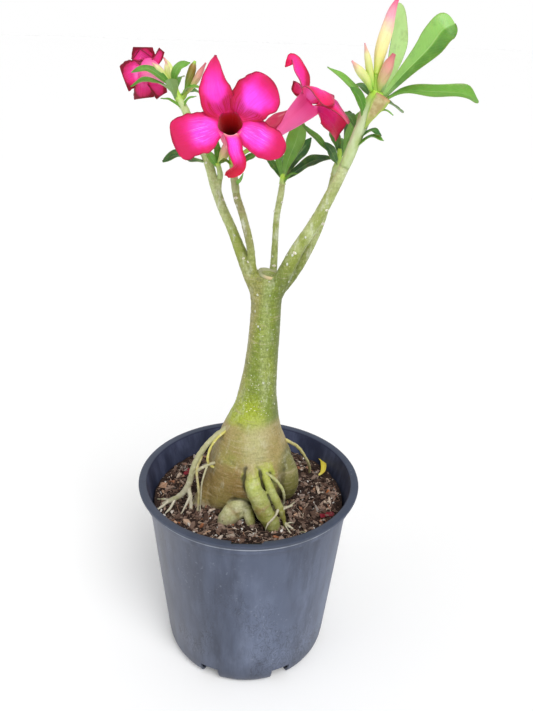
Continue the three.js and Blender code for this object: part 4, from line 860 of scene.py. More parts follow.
def addScars(mesh, values):
    draw = random.Random(values["seed"])
    skin = BVHTree.FromPolygons([vertex.co for vertex in mesh.vertices],
                                [face.vertices[:] for face in mesh.polygons])
    shape = Shape()

    def onSkin(centre, along, angle, reach):
        across = along.cross(Vector((0.3, 1, 0.1))).normalized()
        way = across * math.cos(angle) + along.cross(across) * math.sin(angle)
        return skin.ray_cast(centre + way * reach * mm, -way, reach * mm)[:2]

    at, way = smoothCurve(trunk[0])
    dots, scars = values["dots"], values["stemScars"]
    for count in range(dots["count"]):
        if count % dots["together"] == 0:
            row, heading = draw.uniform(dots["from"], dots["to"]), draw.uniform(0, fullTurn)
        share, turn = (middle + draw.gauss(0, spread) for middle, spread in zip((row, heading), dots["spread"]))
        spot, normal = onSkin(at(share), way(share), turn, dots["reach"])
        if spot:
            size = draw.uniform(*dots["size"])
            width = size * draw.uniform(*dots["stretch"])
            addDome(shape, spot, normal, Vector((0, 0, 1)), width, size, dots["rise"], 0)
    for points, _, bare in stems.values():
        at, way = smoothCurve(points)
        length = (Vector(points[-1]) - Vector(points[0])).length * bare
        turn = draw.uniform(0, fullTurn)
        for count in range(1, int(length / scars["spacing"]) + 1):
            turn += scars["turn"]
            share = bare * (count + draw.uniform(-scars["uneven"], scars["uneven"])) * scars["spacing"] / length
            spot, normal = onSkin(at(share), way(share), turn, scars["reach"])
            if spot and share > scars["from"]:
                size = draw.uniform(*scars["size"])
                addDome(shape, spot, normal, way(share), size, size * scars["squash"], scars["rise"],
                        scars["dimple"])
    middle = Vector(stub[0][-1])
    slopeX, slopeY = values["cutSlope"]
    rows = []
    for radius, lift in values["cut"]:
        row = []
        for angle in turns(values["cutSides"]):
            wave = 1 + values["cutWave"] * noise.noise(Vector((math.cos(angle), math.sin(angle), radius)) * 1.7)
            offset = Vector((radius * wave * math.cos(angle), radius * wave * math.sin(angle), 0))
            tilt = slopeX * offset.x + slopeY * offset.y
            pale = step01(radius, *values["cutRim"]) * step01(math.cos(angle + 0.8), 0.1, 0.8)
            row.append(shape.point((middle + offset + Vector((0, 0, lift + tilt))) * mm, tone=0.25 * pale))
        rows.append(row)
    shape.solid(rows, flip=True)
    shape.build("leafScars", [scarFinish(values["colour"])], "bark")


def creases(mesh, values):  # how deep in a fold each point of the mesh lies, from 0 to 1
    count = len(mesh.vertices)
    spots, normals = numpy.empty(count * 3), numpy.empty(count * 3)
    ends = numpy.empty(len(mesh.edges) * 2, dtype=int)
    mesh.vertices.foreach_get("co", spots)
    mesh.vertices.foreach_get("normal", normals)
    mesh.edges.foreach_get("vertices", ends)
    spots, normals, ends = spots.reshape(-1, 3), normals.reshape(-1, 3), ends.reshape(-1, 2)
    first, second = ends[:, 0], ends[:, 1]
    degree = numpy.bincount(ends.ravel(), minlength=count)

    def spread(amounts):
        sums = numpy.bincount(first, amounts[second], count) + numpy.bincount(second, amounts[first], count)
        return sums / degree

    smooth = spots.copy()
    for turn in range(values["rounds"]):
        smooth = numpy.stack([spread(smooth[:, axis]) for axis in range(3)], axis=1)
    depth = ((smooth - spots) * normals).sum(axis=1)
    for turn in range(values["softening"]):
        depth = spread(depth)
    return numpy.clip((depth / values["depth"] - values["from"]) / values["span"], 0, 1).tolist()


def makeBody(values):
    shape = Shape()
    rods = values["rods"]
    addRod(shape, *trunk, **rods["trunk"])
    addRod(shape, *stub, **rods["stub"])
    for root in roots:
        addRod(shape, *root, **rods["root"])
    for points, radii, bare in stems.values():
        addRod(shape, points, radii, **rods["stem"], end=bare)
    piece = addObject("roughBody", shape.mesh("roughBody"))
    remesh = piece.modifiers.new("remesh", "REMESH")
    remesh.mode, remesh.voxel_size, remesh.adaptivity = "VOXEL", values["voxel"] * mm, 0.0
    relax = piece.modifiers.new("relax", "SMOOTH")
    relax.factor, relax.iterations = values["relax"]
    mesh = evaluated(piece)
    trim = bmesh.new()
    trim.from_mesh(mesh)
    cut = bmesh.ops.bisect_plane(trim, geom=trim.verts[:] + trim.edges[:] + trim.faces[:],
                                 plane_co=(0, 0, values["soilCut"]), plane_no=(0, 0, -1), clear_outer=True)
    bmesh.ops.holes_fill(trim, edges=[item for item in cut["geom_cut"] if isinstance(item, bmesh.types.BMEdge)])
    trim.normal_update()
    moves = [vertex.normal * bodyRough(vertex.co, values["bumps"]) for vertex in trim.verts]
    for vertex, move in zip(trim.verts, moves):
        vertex.co += move
    trim.to_mesh(mesh)
    trim.free()
    lobes = values["lobes"]
    front = [Vector(point) * mm for at in lobes["front"] for point in roots[at][0][:-1]]
    right = [Vector(point) * mm for point in roots[lobes["right"]][0][1:]]
    tones, shaded = [], []
    for vertex in mesh.vertices:
        low = vertex.co.z < lobes["below"]
        near, nearRight = (min((vertex.co - spot).length for spot in spots) if low else 1.0
                           for spots in (front, right))
        tones.append(0.5 + 0.5 * (1 - step01(near, *lobes["reach"])))
        shaded.append(1 - step01(nearRight, *lobes["rightReach"]))
    # the mark across holds the right lobe's painted shade, and along how deep each point lies in a fold, which the
    # bark darkens as painted shade
    addMarks(mesh, {"tone": tones, "across": shaded, "along": creases(mesh, values["crease"])})
    mesh.polygons.foreach_set("use_smooth", [True] * len(mesh.polygons))
    settle("trunkAndBase", mesh, [bodyFinish(values)], "bark", "plant_body")
    addScars(mesh, scarValues)
    strands = Shape()
    for points, radii, tone in thinRoots:
        addRod(strands, points, radii, **rods["thin"], steps=10 * len(points), tone=tone)
    for root in rootHairs:
        addRod(strands, *root, **rods["hair"])
    strands.build("aerialRoots", [rootFinish(rootColours)], "bark")


rootColours = {"stops": [(0.0, "b9ad97"), (0.3, "a5a27c"), (0.55, "a3a568"), (0.8, "b9b074"), (1.0, "c2bb58")],
               "pale": "dcd6c4", "dark": "7c6e56", "dusty": "cfc7b8", "dustTop": (0.165, 0.2)}


def rootFinish(colours):
    root = Finish("rootSkin", {"Roughness": 0.6}, colours)
    grain = root.grain(300, 4)
    shade = root.ramp(root.mark("tone"), colours["stops"]).under(grain.rise(0.5, 0.72) * 0.45, "pale")
    shade = shade.under(root.grain(120, 3).rise(0.55, 0.7) * 0.35, "dark")
    low = root.axes()[2].fall(*colours["dustTop"])
    root.give("Base Color", shade.under(low * root.grain(90, 3).rise(0.35, 0.6) * 0.6, "dusty"))
    root.bump(grain, 0.0006, 0.6)
    return root


makeBody(bodyValues)
print("trunk and roots made")

# Leaves and the green shoot tips that carry them

front, frontLeft, frontRight = [0, -0.95, 0.3], [-0.45, -0.85, 0.25], [0.45, -0.85, 0.25]
sloping, upward = [0, -0.6, 0.8], [0, -0.35, 0.93]
outlines = {
    "spoon": [0.16, 0.25, 0.38, 0.54, 0.72, 0.87, 0.98, 1, 1, 0.99, 0.96],
    "lance": [0.22, 0.42, 0.62, 0.81, 0.95, 1, 0.98, 0.88, 0.72, 0.46, 0.1],
    "bract": [0.7, 1, 0.9, 0.7, 0.45, 0.2],
    "pointedPetal": [0.8, 0.92, 1, 1, 0.97, 0.89, 0.77, 0.62, 0.46, 0.28, 0.06],
    "roundPetal": [0.62, 0.76, 0.87, 0.95, 0.99, 1, 1, 1, 0.98, 0.96, 0.94],
    "longPetal": [0.64, 0.78, 0.89, 0.96, 1, 1, 1, 0.98, 0.95, 0.92, 0.9],
    "squarePetal": [0.56, 0.7, 0.82, 0.91, 0.97, 1, 1, 1, 1, 0.99, 0.98],
    "wedge": [0.04, 0.3, 0.56, 0.8, 1, 1],
    "narrowPetal": [0.8, 0.92, 1, 1, 0.98, 0.95, 0.92, 0.88, 0.8, 0.64, 0.3],
    "flaredPetal": [0.4, 0.55, 0.7, 0.82, 0.9, 0.96, 1, 1, 0.98, 0.95, 0.86],
}
blunt = {"spoon": 0.78, "roundPetal": 0.68, "longPetal": 0.7, "squarePetal": 0.9}  # where a round end begins
# each leaf: its rib from the shoot to the tip, width, tone from dark 0 to pale 1 (the leaf's own green and painted
# light and shade on it), the way it faces, outline, finish, wave, and how much darker one half of it is painted, as
# shade
leaves = {
    "left": [
        ([[-62, 18, 508], [-73, 9, 515], [-83, 5, 516], [-92, 3, 512]], 7.5, 0.4, upward, "lance"),
        ([[-62, 18, 510], [-69, 13, 517], [-81, 11, 524], [-92, 10, 521]], 7.5, 0.42, sloping, "lance"),
        ([[-61, 17, 503], [-62, 9, 511], [-63, 3, 518]], 9, 0.45, [0, 0.66, 0.75]),
        ([[-61, 18, 510], [-61, 15, 519], [-57, 12, 526], [-49, 10, 529]], 7, 0.56, frontLeft, "lance"),
        ([[-57, 18, 506], [-50, 14, 512], [-41, 9, 512]], 6, 0.55, upward, "lance"),
        ([[-56, 16, 497], [-65, 12, 503], [-71, 8, 504]], 3, 0.5, sloping, "bract"),
        ([[-56, 16, 497], [-51, 13, 504], [-45, 11, 506]], 3, 0.5, sloping, "bract"),
        ([[-61, 21, 508], [-62, 34, 516], [-60, 45, 517]], 11, 0.4, [0, 0.3, 0.95]),
        ([[-58, 20, 503], [-52, 30, 508], [-44, 36, 507]], 8, 0.4, upward),
    ],
    "leftTwig": [
        ([[-28, 3, 457], [-29, 0, 468], [-30, -3, 479]], 6, 0.4, frontRight, "lance"),
        ([[-28, 3, 455], [-34, -2, 465], [-37, -5, 471]], 5, 0.55, front, "lance"),
        ([[-28, 4, 456], [-24, 10, 468], [-18, 14, 475]], 7, 0.4, frontLeft),
        ([[-28, 4, 454], [-34, 12, 462], [-41, 19, 464]], 7, 0.35, upward),
    ],
    "leftSide": [
        ([[-40, 8, 459], [-52, 3, 462], [-60, -3, 465], [-69, -8, 461]], 13, 0.12, [-0.1, -0.4, 0.9], "lance"),
    ],
    "flower": [
        ([[-17, -7, 459], [-6, -8, 465], [3, -10, 470]], 6, 0.35, sloping, "lance"),
        ([[-17, -8, 459], [-22, -10, 463], [-27, -14, 462]], 5, 0.5, upward, "lance"),
        ([[-15, -9, 446], [-11, -15, 451], [-9, -18, 456]], 3, 0.6, front, "bract"),
        ([[-17, -5, 458], [-14, 5, 465], [-10, 12, 467]], 7, 0.4, upward),
    ],
    "centre": [
        ([[22, 23, 445], [26, 22, 461], [31, 20, 475], [34, 22, 490]], 15, 0.55, frontLeft),
        ([[22, 24, 446], [31, 31, 459], [38, 36, 467], [44, 38, 475]], 11, 0.12, frontLeft, "lance"),
        ([[22, 23, 443], [35, 20, 454], [47, 18, 461], [59, 15, 463]], 12, 0.08, [-0.2, -0.5, 0.85], "lance"),
        ([[21, 24, 445], [14, 26, 455], [8, 28, 461]], 6, 0.3, frontRight, "lance"),
        ([[21, 24, 445], [18, 20, 458], [15, 18, 465]], 4.5, 0.45, front, "lance"),
        ([[22, 23, 441], [28, 17, 450], [33, 14, 451]], 2.6, 0.5, sloping, "bract"),
        ([[21, 26, 444], [21, 40, 455], [24, 53, 458]], 12, 0.35, upward),
    ],
    "backRight": [
        ([[64, 17, 459], [52, 10, 473], [43, 8, 481], [33, 8, 489]], 6.5, 0.42, sloping, "lance"),
        ([[64, 17, 458], [58, 12, 468], [52, 9, 476]], 8, 0.15, frontRight, "lance"),
        ([[65, 18, 464], [62, 20, 476], [58, 22, 484]], 8, 0.3, front),
        ([[66, 17, 464], [70, 12, 484], [69, 10, 499]], 8, 0.2, frontLeft),
        ([[67, 17, 465], [71, 9, 486], [77, 5, 500]], 6, 0.62, frontLeft, "lance"),
        ([[65, 20, 462], [71, 34, 472], [76, 46, 472]], 11, 0.35, upward),
    ],
    "right": [
        ([[85, -28, 511], [92, -22, 529], [95, -18, 548], [93, -20, 571]], 14, 1.0, frontRight),
        ([[85, -30, 510], [97, -37, 527], [111, -44, 544], [119, -47, 556], [126, -45, 559]],
         19, 0.76, [-0.25, -0.9, 0.35], "spoon", 0, None, 0.36),
        ([[84, -30, 509], [99, -34, 516], [120, -37, 517], [141, -38, 516], [151, -36, 512]],
         16, 0.52, [0.1, -0.5, 0.86]),
        ([[78, -29, 505], [64, -36, 519], [46, -43, 531]], 8, 0.62, sloping, "lance"),
        ([[75, -27, 497], [70, -36, 511], [62, -43, 519]], 8, 0.4, frontRight, "lance"),
        ([[80, -26, 510], [75, -15, 517], [70, -5, 518]], 9, 0.35, upward),
        ([[84, -27, 510], [95, -20, 507], [104, -14, 501]], 9, 0.35, upward),
        ([[78, -28, 497], [88, -32, 504], [94, -35, 501]], 3, 0.6, upward, "bract"),
        ([[71, -24, 482], [81, -30, 490], [87, -35, 487]], 6, 0.22, upward, "lance"),
        ([[70, -23, 476], [81, -30, 486], [89, -35, 484]], 6, 0.5, upward, "lance"),
        ([[75.6, -29.6, 491], [80.5, -33, 503], [86, -36, 513.5]], 11, 0.5, [0.1, -0.95, 0.25], "wedge", 2, 0),
        ([[83, -27, 509], [92, -8, 519], [99, 8, 519]], 13, 0.5, upward),
        ([[72, -20, 487], [68, -6, 496], [62, 4, 497]], 9, 0.4, upward),
    ],
}
stalks = {
    "left": [([[-58, 18, 502], [-55, 18.5, 505], [-53.5, 18.5, 509]], [2.2, 2.1, 1.9])],
    "flower": [
        ([[-18, -7, 464], [-18, -9, 468], [-18, -13, 472.5]], [2.2, 2, 1.9]),
        ([[-18, -7, 463], [-6, -9, 471], [4, -8.5, 476], [15, -15, 484]], [1.8, 1.5, 1.5, 1.9]),
        ([[-8, -9, 470], [-1, -8, 477], [5, -8.5, 484]], [1.3, 1.3, 1.5]),
    ],
    "right": [([[81, -30, 510], [80.5, -31, 520], [80.5, -31, 528]], [2.4, 1.9, 1.8])],
}
leafValues = {
    "thickness": 0.95,
    "rows": 30,
    "columns": 14,
    "thin": {"tip": 0.35, "edge": 0.62},  # how much thinner a leaf is there
    "least": 0.35,
    "groove": 0.35,
    "grooveWidth": 0.09,
    "wave": 0.05,
    "beat": (1.6, 2.6),
    "cup": 0.18,
    "fold": 0.12,
    "veins": 26,
    "shootRod": {"sides": 22, "steps": 30, "tone": 0.7, "rough": 0.5},
    "stalkRod": {"sides": 16, "steps": 20, "tone": 0.0, "rough": 0.3},
    "colour": {"pale": "b4d98c", "light": "86bd57", "mid": "629c2c", "dark": "2f6424", "deep": "1b4719",
               "rib": "bcdc92", "under": "9dbd7c", "edge": "8fa85a"},
    "stem": {"green": "98bd45", "bright": "b4dc4c", "grey": "aebb82", "white": "d2daba", "twig": "8a8058",
             "scar": "b59a6d", "wedge": "a99760", "wedgePale": "c6b987", "wedgeTip": "c79a6c"},
}


def leafFinish(name, colour):
    skin = Finish(name, {"Roughness": 0.38, "Specular IOR Level": 0.5, "Subsurface Weight": 0.08,
                         "Subsurface Scale": 0.004}, colour)
    along, across, tone, back = (skin.mark(name) for name in ("along", "across", "tone", "back"))
    side = abs(across)
    shade = skin.ramp(tone, [(0.0, "deep"), (0.25, "dark"), (0.5, "mid"), (0.75, "light"), (1.0, "pale")])
    mottle = skin.grain(110, 4, None, 0.6)
    shade = shade.under(mottle.rise(0.45, 0.75) * 0.35, "light").under(mottle.fall(0.28, 0.5) * 0.3, "dark")
    veins = ((along * leafValues["veins"] - side * 4.2) * fullTurn).sine().rise(0.82, 1.0)
    veins = veins * side.rise(0.03, 0.2) * side.fall(0.8, 1)
    shade = shade.under(veins * 0.06, "rib").under(back * 0.5, "under")
    shade = shade.under(side.fall(0.02, 0.08) * along.fall(0.5, 0.95) * 0.3, "rib")
    shade = shade.under(along.fall(0.02, 0.22) * 0.4, "rib").under(side.rise(0.9, 1.0) * 0.55, "edge")
    skin.give("Base Color", shade)
    skin.give("Roughness", 0.3 + 0.22 * mottle)
    skin.bump(veins * -0.5 + mottle * 0.5, 0.0004, 0.5)
    return skin


def shootFinish(colour):
    shoot = Finish("shootSkin", {"Roughness": 0.45}, colour)
    along, tone = shoot.mark("along"), shoot.mark("tone")
    grain = shoot.grain(90, 4, shoot.place(1, 1, 0.4))
    x, y, z = shoot.axes()
    pale = shoot.blend(grain.rise(0.4, 0.65), "grey", "white")
    shade = shoot.blend(along.rise(0.8, 0.97), "green", "bright")
    shade = shade.under(tone * (along + (grain - 0.5) * 0.2).fall(0.86, 0.96), pale)
    shade = shade.under(flowerStem(shoot, x, y, z) * z.fall(0.458, 0.464) * tone, "twig")
    shoot.give("Base Color", shade.under(shoot.grain(160, 3).rise(0.6, 0.75) * 0.4, "scar"))
    shoot.bump(grain + shoot.grain(500, 3) * 0.4, 0.0004, 0.6)
    return shoot


def wedgeFinish(colour):  # pale brown heel that an old leaf has left
    heel = Finish("heelSkin", {"Roughness": 0.6}, colour)
    side, along = abs(heel.mark("across")), heel.mark("along")
    grain = heel.grain(240, 4)
    shade = heel.blend(grain.rise(0.4, 0.7), "wedge", "wedgePale")
    shade = shade.under(side.rise(0.55, 0.95).most(along.fall(0.1, 0.5)) * 0.8, "green")
    heel.give("Base Color", shade.under(along.rise(0.88, 0.98) * 0.7, "wedgeTip"))
    heel.bump(grain, 0.0005, 0.6)
    return heel


phases = 6.3  # how far apart the waves of two leaves or petals can start


def rounded(share, blunt):  # from the share `blunt` on, an outline closes in a round end
    if share <= blunt:
        return share, 1
    turn = math.pi / 2 * (share - blunt) / (1 - blunt)
    return blunt + (1 - blunt) * math.sin(turn), math.cos(turn)


def addBlade(shape, values, draw, rib, width, tone, facing, outline="spoon", slot=0, wave=None, dim=0.0):
    at, way = smoothCurve(rib)
    outlineAt = smoothValue(outlines[outline])
    facing = Vector(facing).normalized()
    rows, columns, thin = values["rows"], values["columns"], values["thin"]
    wave = values["wave"] if wave is None else wave
    phase, beat = draw.uniform(0, phases), draw.uniform(*values["beat"])
    tops, unders = [], []
    for row in range(rows + 1):
        share, shrink = rounded(row / rows, blunt.get(outline, 1))
        centre, along = at(share), way(share)
        across = along.cross(facing).normalized()
        up = across.cross(along)
        half = max(outlineAt(share) * shrink * width / 2, values["least"]) * mm
        top, under = [], []
        for column in range(columns + 1):
            offset = 2 * column / columns - 1
            edge = abs(offset)
            lift = values["cup"] * half * offset * offset + values["fold"] * half * (edge - 0.5 * edge * edge)
            swing = math.sin(phase + beat * fullTurn * share + (1.3 if offset > 0 else 0))
            lift += wave * width * mm * swing * edge ** 2
            skin = values["thickness"] * mm / 2 * (1 - thin["tip"] * share) * (1 - thin["edge"] * edge ** 3)
            groove = values["groove"] * mm * math.exp(-(offset / values["grooveWidth"]) ** 2) * (1 - share)
            spot = centre + across * offset * half * (1 + 0.02 * math.sin(phase + 23 * share)) + up * lift
            shadedTone = tone - dim * step01(offset, -0.1, 0.2)
            top.append(shape.point(spot + up * (skin - groove), share, offset, shadedTone, 0))
            under.append(shape.point(spot - up * (skin + groove * 0.9), share, offset, shadedTone, 1))
        tops.append(top)
        unders.append(under)
    shape.sheet(tops, unders, slot=slot)


def makeSpray(name, shoot, finishes, values):
    draw = random.Random(name)
    shape = Shape()
    for leaf in leaves[shoot]:
        draw.random()  # one draw before each leaf, so that its waves stay as they are
        addBlade(shape, values, draw, *leaf)
    if shoot in stems:
        points, radii, bare = stems[shoot]
        addRod(shape, points, radii, **values["shootRod"], start=bare - 0.01, slot=1)
    for stalk in stalks.get(shoot, []):
        addRod(shape, *stalk, **values["stalkRod"], slot=1)
    shape.build(pieceName(name), finishes, "leaf", name)


leafFinishes = [leafFinish("leafSkin", leafValues["colour"]), shootFinish(leafValues["stem"]),
                wedgeFinish(leafValues["stem"])]
sprays = {"leaves_left_tip": "left", "leaves_left_twig": "leftTwig", "leaf_left_side": "leftSide",
          "leaves_flower_stem": "flower", "leaves_centre": "centre", "leaves_back_right": "backRight",
          "leaves_right": "right"}
for name, shoot in sprays.items():
    makeSpray(name, shoot, leafFinishes, leafValues)
print("leaves made")

# Flowers: a trumpet that opens into petals, as one sheet

# each petal: its rib from near the mouth to the tip, width, outline, cup, tone, the way it faces
flowers = {
    "front": {
        "tube": [[-18, -11, 471], [-18, -27, 482], [-18, -45, 494]],
        "petals": [
            ([[-27, -46, 510], [-29, -43, 522], [-28, -38, 536]], 23, "pointedPetal", 0.16, 0.1),
            ([[-5, -47, 507], [3, -49, 514], [11, -50, 521]], 29.5, "roundPetal", 0.12, 0.2),
            ([[-1, -49, 487], [9, -51, 482], [20, -49, 477]], 22, "longPetal", -0.14, 0.62),
            ([[-15, -52, 478], [-12, -53, 468], [-20, -46, 459]], 11, "narrowPetal", 0.5, 0.98, [0.4, -0.9, 0.1]),
            ([[-34, -49, 489], [-44, -50, 486], [-57, -47, 481]], 28, "squarePetal", -0.1, 0.7),
        ],
        "facing": [0.03, -0.97, 0.22],
        "mouth": 9.5,
        "join": 0.22,
    },
    "left": {
        "tube": [[-66, 20, 516], [-74, 24, 519], [-84, 30, 523]],
        "petals": [
            ([[-86.5, 29, 529], [-85.5, 28, 538]], 20, "flaredPetal", -0.1),
            ([[-78, 31, 528], [-72.5, 33, 536.5]], 7.5, "flaredPetal", -0.3),
            ([[-93, 25, 520], [-100, 21, 516.5]], 23, "flaredPetal", -0.12),
            ([[-86.6, 33, 511], [-88, 36, 501.5]], 20, "flaredPetal", -0.12),
            ([[-79.5, 33, 514.5], [-74, 36, 503.5]], 12, "flaredPetal", -0.2),
        ],
        "facing": [-0.66, 0.7, 0.26],
        "mouth": 8.2,
        "join": 0.22,
    },
    "side": {
        "tube": [[14, -15, 483], [26, -15, 495], [38, -15, 506]],
        "petals": [
            ([[32, -16, 518], [28, -16, 526], [24, -14, 534], [19, -14, 529]],
             16, "pointedPetal", 0.4, None, [0.6, -0.5, 0.6]),
            ([[41, -30, 516], [46, -37, 515], [52, -40, 507]], 26, "roundPetal", -0.2, None, [0.5, -0.3, 0.8]),
            ([[47, -27, 510], [56, -30, 506], [65.5, -26, 495]], 23, "longPetal", -0.15, None, [0.4, -0.3, 0.86]),
            ([[48, -16, 499], [55, -16, 492.5], [60.5, -13, 485]], 22, "squarePetal", 0.2, None, [0.6, -0.7, 0.4]),
            ([[36, 0, 513], [31, 8, 514], [26, 9, 511]], 17, "roundPetal", -0.2, None, [0.75, 0.1, 0.65]),
        ],
        "facing": [0.7, -0.1, 0.7],
        "mouth": 9.5,
        "join": 0.38,
    },
}
flowerValues = {
    "tube": [0.28, 0.72, 1],
    "throatWall": 1.0,
    "floor": 0.15,
    "flute": 0.035,
    "columns": 16,
    "petalRows": 40,
    "tubeRows": 18,
    "thickness": 0.8,
    "thin": {"tip": 0.4, "edge": 0.55},
    "least": 0.4,
    "ruffle": 0.05,
    "crease": 0.05,
    "creaseWidth": 0.12,
    "front": {"heart": "ff4cf0", "deep": "4c0208", "pale": "ffacfc", "body": "f21c98", "edge": "c80a50",
              "rim": "86042c", "drop": "c8042e", "root": "b80436", "throat": "c4161c", "glow": "ffb4ac",
              "back": "ee5a9c", "tube": "f07f92", "reach": 0.72},
    "left": {"heart": "fa40b4", "deep": "4c0208", "pale": "ff84d0", "body": "ec1474", "edge": "c20a3c",
             "rim": "5c0216", "drop": "7a0420", "root": "b80c40", "throat": "7a0416", "glow": "f05080",
             "back": "ff3ca4", "tube": "ffa8c4", "reach": 0.56},
    "side": {"heart": "ff2fb0", "deep": "4c0208", "pale": "ff70d0", "body": "f8247e", "edge": "da1450",
             "rim": "7a0626", "drop": "7a0626", "root": "b80c3c", "throat": "8a0616", "glow": "e86080",
             "back": "ff409a", "tube": "ff70b2", "reach": 0.66},
}


def petalFinish(name, colour):
    silk = Finish(name, {"Roughness": 0.5, "Specular IOR Level": 0.3, "Subsurface Weight": 0.15,
                         "Subsurface Scale": 0.004, "Sheen Weight": 0.15, "Sheen Roughness": 0.4}, colour)
    along, across, tone, back = (silk.mark(mark) for mark in ("along", "across", "tone", "back"))
    side = abs(across)
    cloud = silk.grain(60, 4, None, 0.6, 0.4)
    lines = silk.node("CombineXYZ", {}, {0: across * 14, 1: along * 1.1, 2: tone * 9})
    streaks = silk.grain(1.6, 5, lines, 0.65, 0.3)
    away = side + (cloud - 0.5) * 0.5
    tip = along + (cloud - 0.5) * 0.2
    upper = tone.fall(0.3, 0.5)

    # the face: a bright heart whose pale middle and streaks are partly the petal's own colour and partly a painted
    # highlight, darker borders, streaks and a red root; tones above 0.9 are the drooping petal
    shade = silk.blend(away.rise(0.55, 1.02).most(tip.rise(1.65, 2.0)), "body", "edge")
    heart = away.fall(0.3, 0.85) * tip.rise(1.03, 1.16) * tip.fall(1.5, 1.85)
    heart = heart * (0.3 + 0.7 * tone.rise(0.06, 0.2)) * (1 - tone.rise(0.5, 0.6) * cloud.fall(0.34, 0.56) * 0.6)
    shade = shade.under(heart * (0.6 + streaks.rise(0.35, 0.65) * 0.4), "heart")
    shade = shade.under(heart * streaks.rise(0.52, 0.7) * tone.rise(0.45, 0.6) * 0.8, "pale")
    shade = shade.under(streaks.fall(0.3, 0.46) * away.rise(0.1, 0.5) * 0.35, "edge")
    base = (along - upper * (0.1 + 0.3 * side)).fall(1.0, 1.2) * (0.4 + 0.6 * streaks.rise(0.35, 0.6))
    shade = shade.under(base * (0.3 + 0.7 * upper), "root")
    end = tone.rise(0.5, 0.6) * tone.fall(0.75, 0.85) * (tip + (streaks - 0.5) * 0.3 + side * 0.1).rise(1.48, 1.92)
    shade = shade.under(end * 0.85, "edge")
    shade = shade.under(silk.grain(420, 2).rise(0.66, 0.74) * away.rise(0.2, 0.6) * 0.35, "rim")
    shade = shade.under(side.rise(0.9, 1.0).most(along.rise(1.93, 2.0)) * along.rise(1.1, 1.3) * 0.75, "rim")
    # deeper in the tube the throat darkens from red to near black: painted shade
    depth = (along + (streaks - 0.5) * 0.25 - tone.rise(0.4, 0.8) * 0.12).rise(0.25, 0.75)
    shade = silk.blend(1 - along.rise(0.86, 1.03), shade, silk.blend(1 - depth, "throat", "deep"))
    # the drooping petal: its end turns crimson, and the lower side of its throat is painted light where light falls
    # into it
    drooping = tone.rise(0.9, 0.98)
    shade = shade.under(drooping * (along + (cloud - 0.5) * 0.3).rise(1.25, 1.8) * 0.95, "drop")
    shade = shade.under(drooping * along.rise(0.45, 0.7) * along.fall(1.0, 1.14) * 0.85, "glow")

    # the back and the tube, with a pale painted highlight in the middle of each petal's back
    outside = silk.blend(along.rise(0.3, 1.15), "tube", "back").under(streaks.rise(0.42, 0.7) * 0.36, "edge")
    far = away.most(0) ** 3 + (tip - 1).most(0) ** 3 + (streaks - 0.5) * 0.3
    border = far.rise(colour["reach"] ** 3, 1.1)
    backHighlight = far.fall(0.0, 0.3) * along.rise(1.0, 1.2) * (0.3 + 0.7 * cloud.rise(0.4, 0.6))
    outside = outside.under(backHighlight * 0.7, "pale").under(border * along.rise(1.0, 1.25) * 0.9, "edge")
    outside = outside.under(border.rise(0.7, 1.0) * along.rise(1.0, 1.25) * 0.8, "rim")
    silk.give("Base Color", shade.under(back, outside))
    silk.give("Roughness", 0.42 + 0.2 * cloud)
    silk.bump(streaks * 0.7 + cloud * 0.5, 0.0006, 0.6)
    return silk


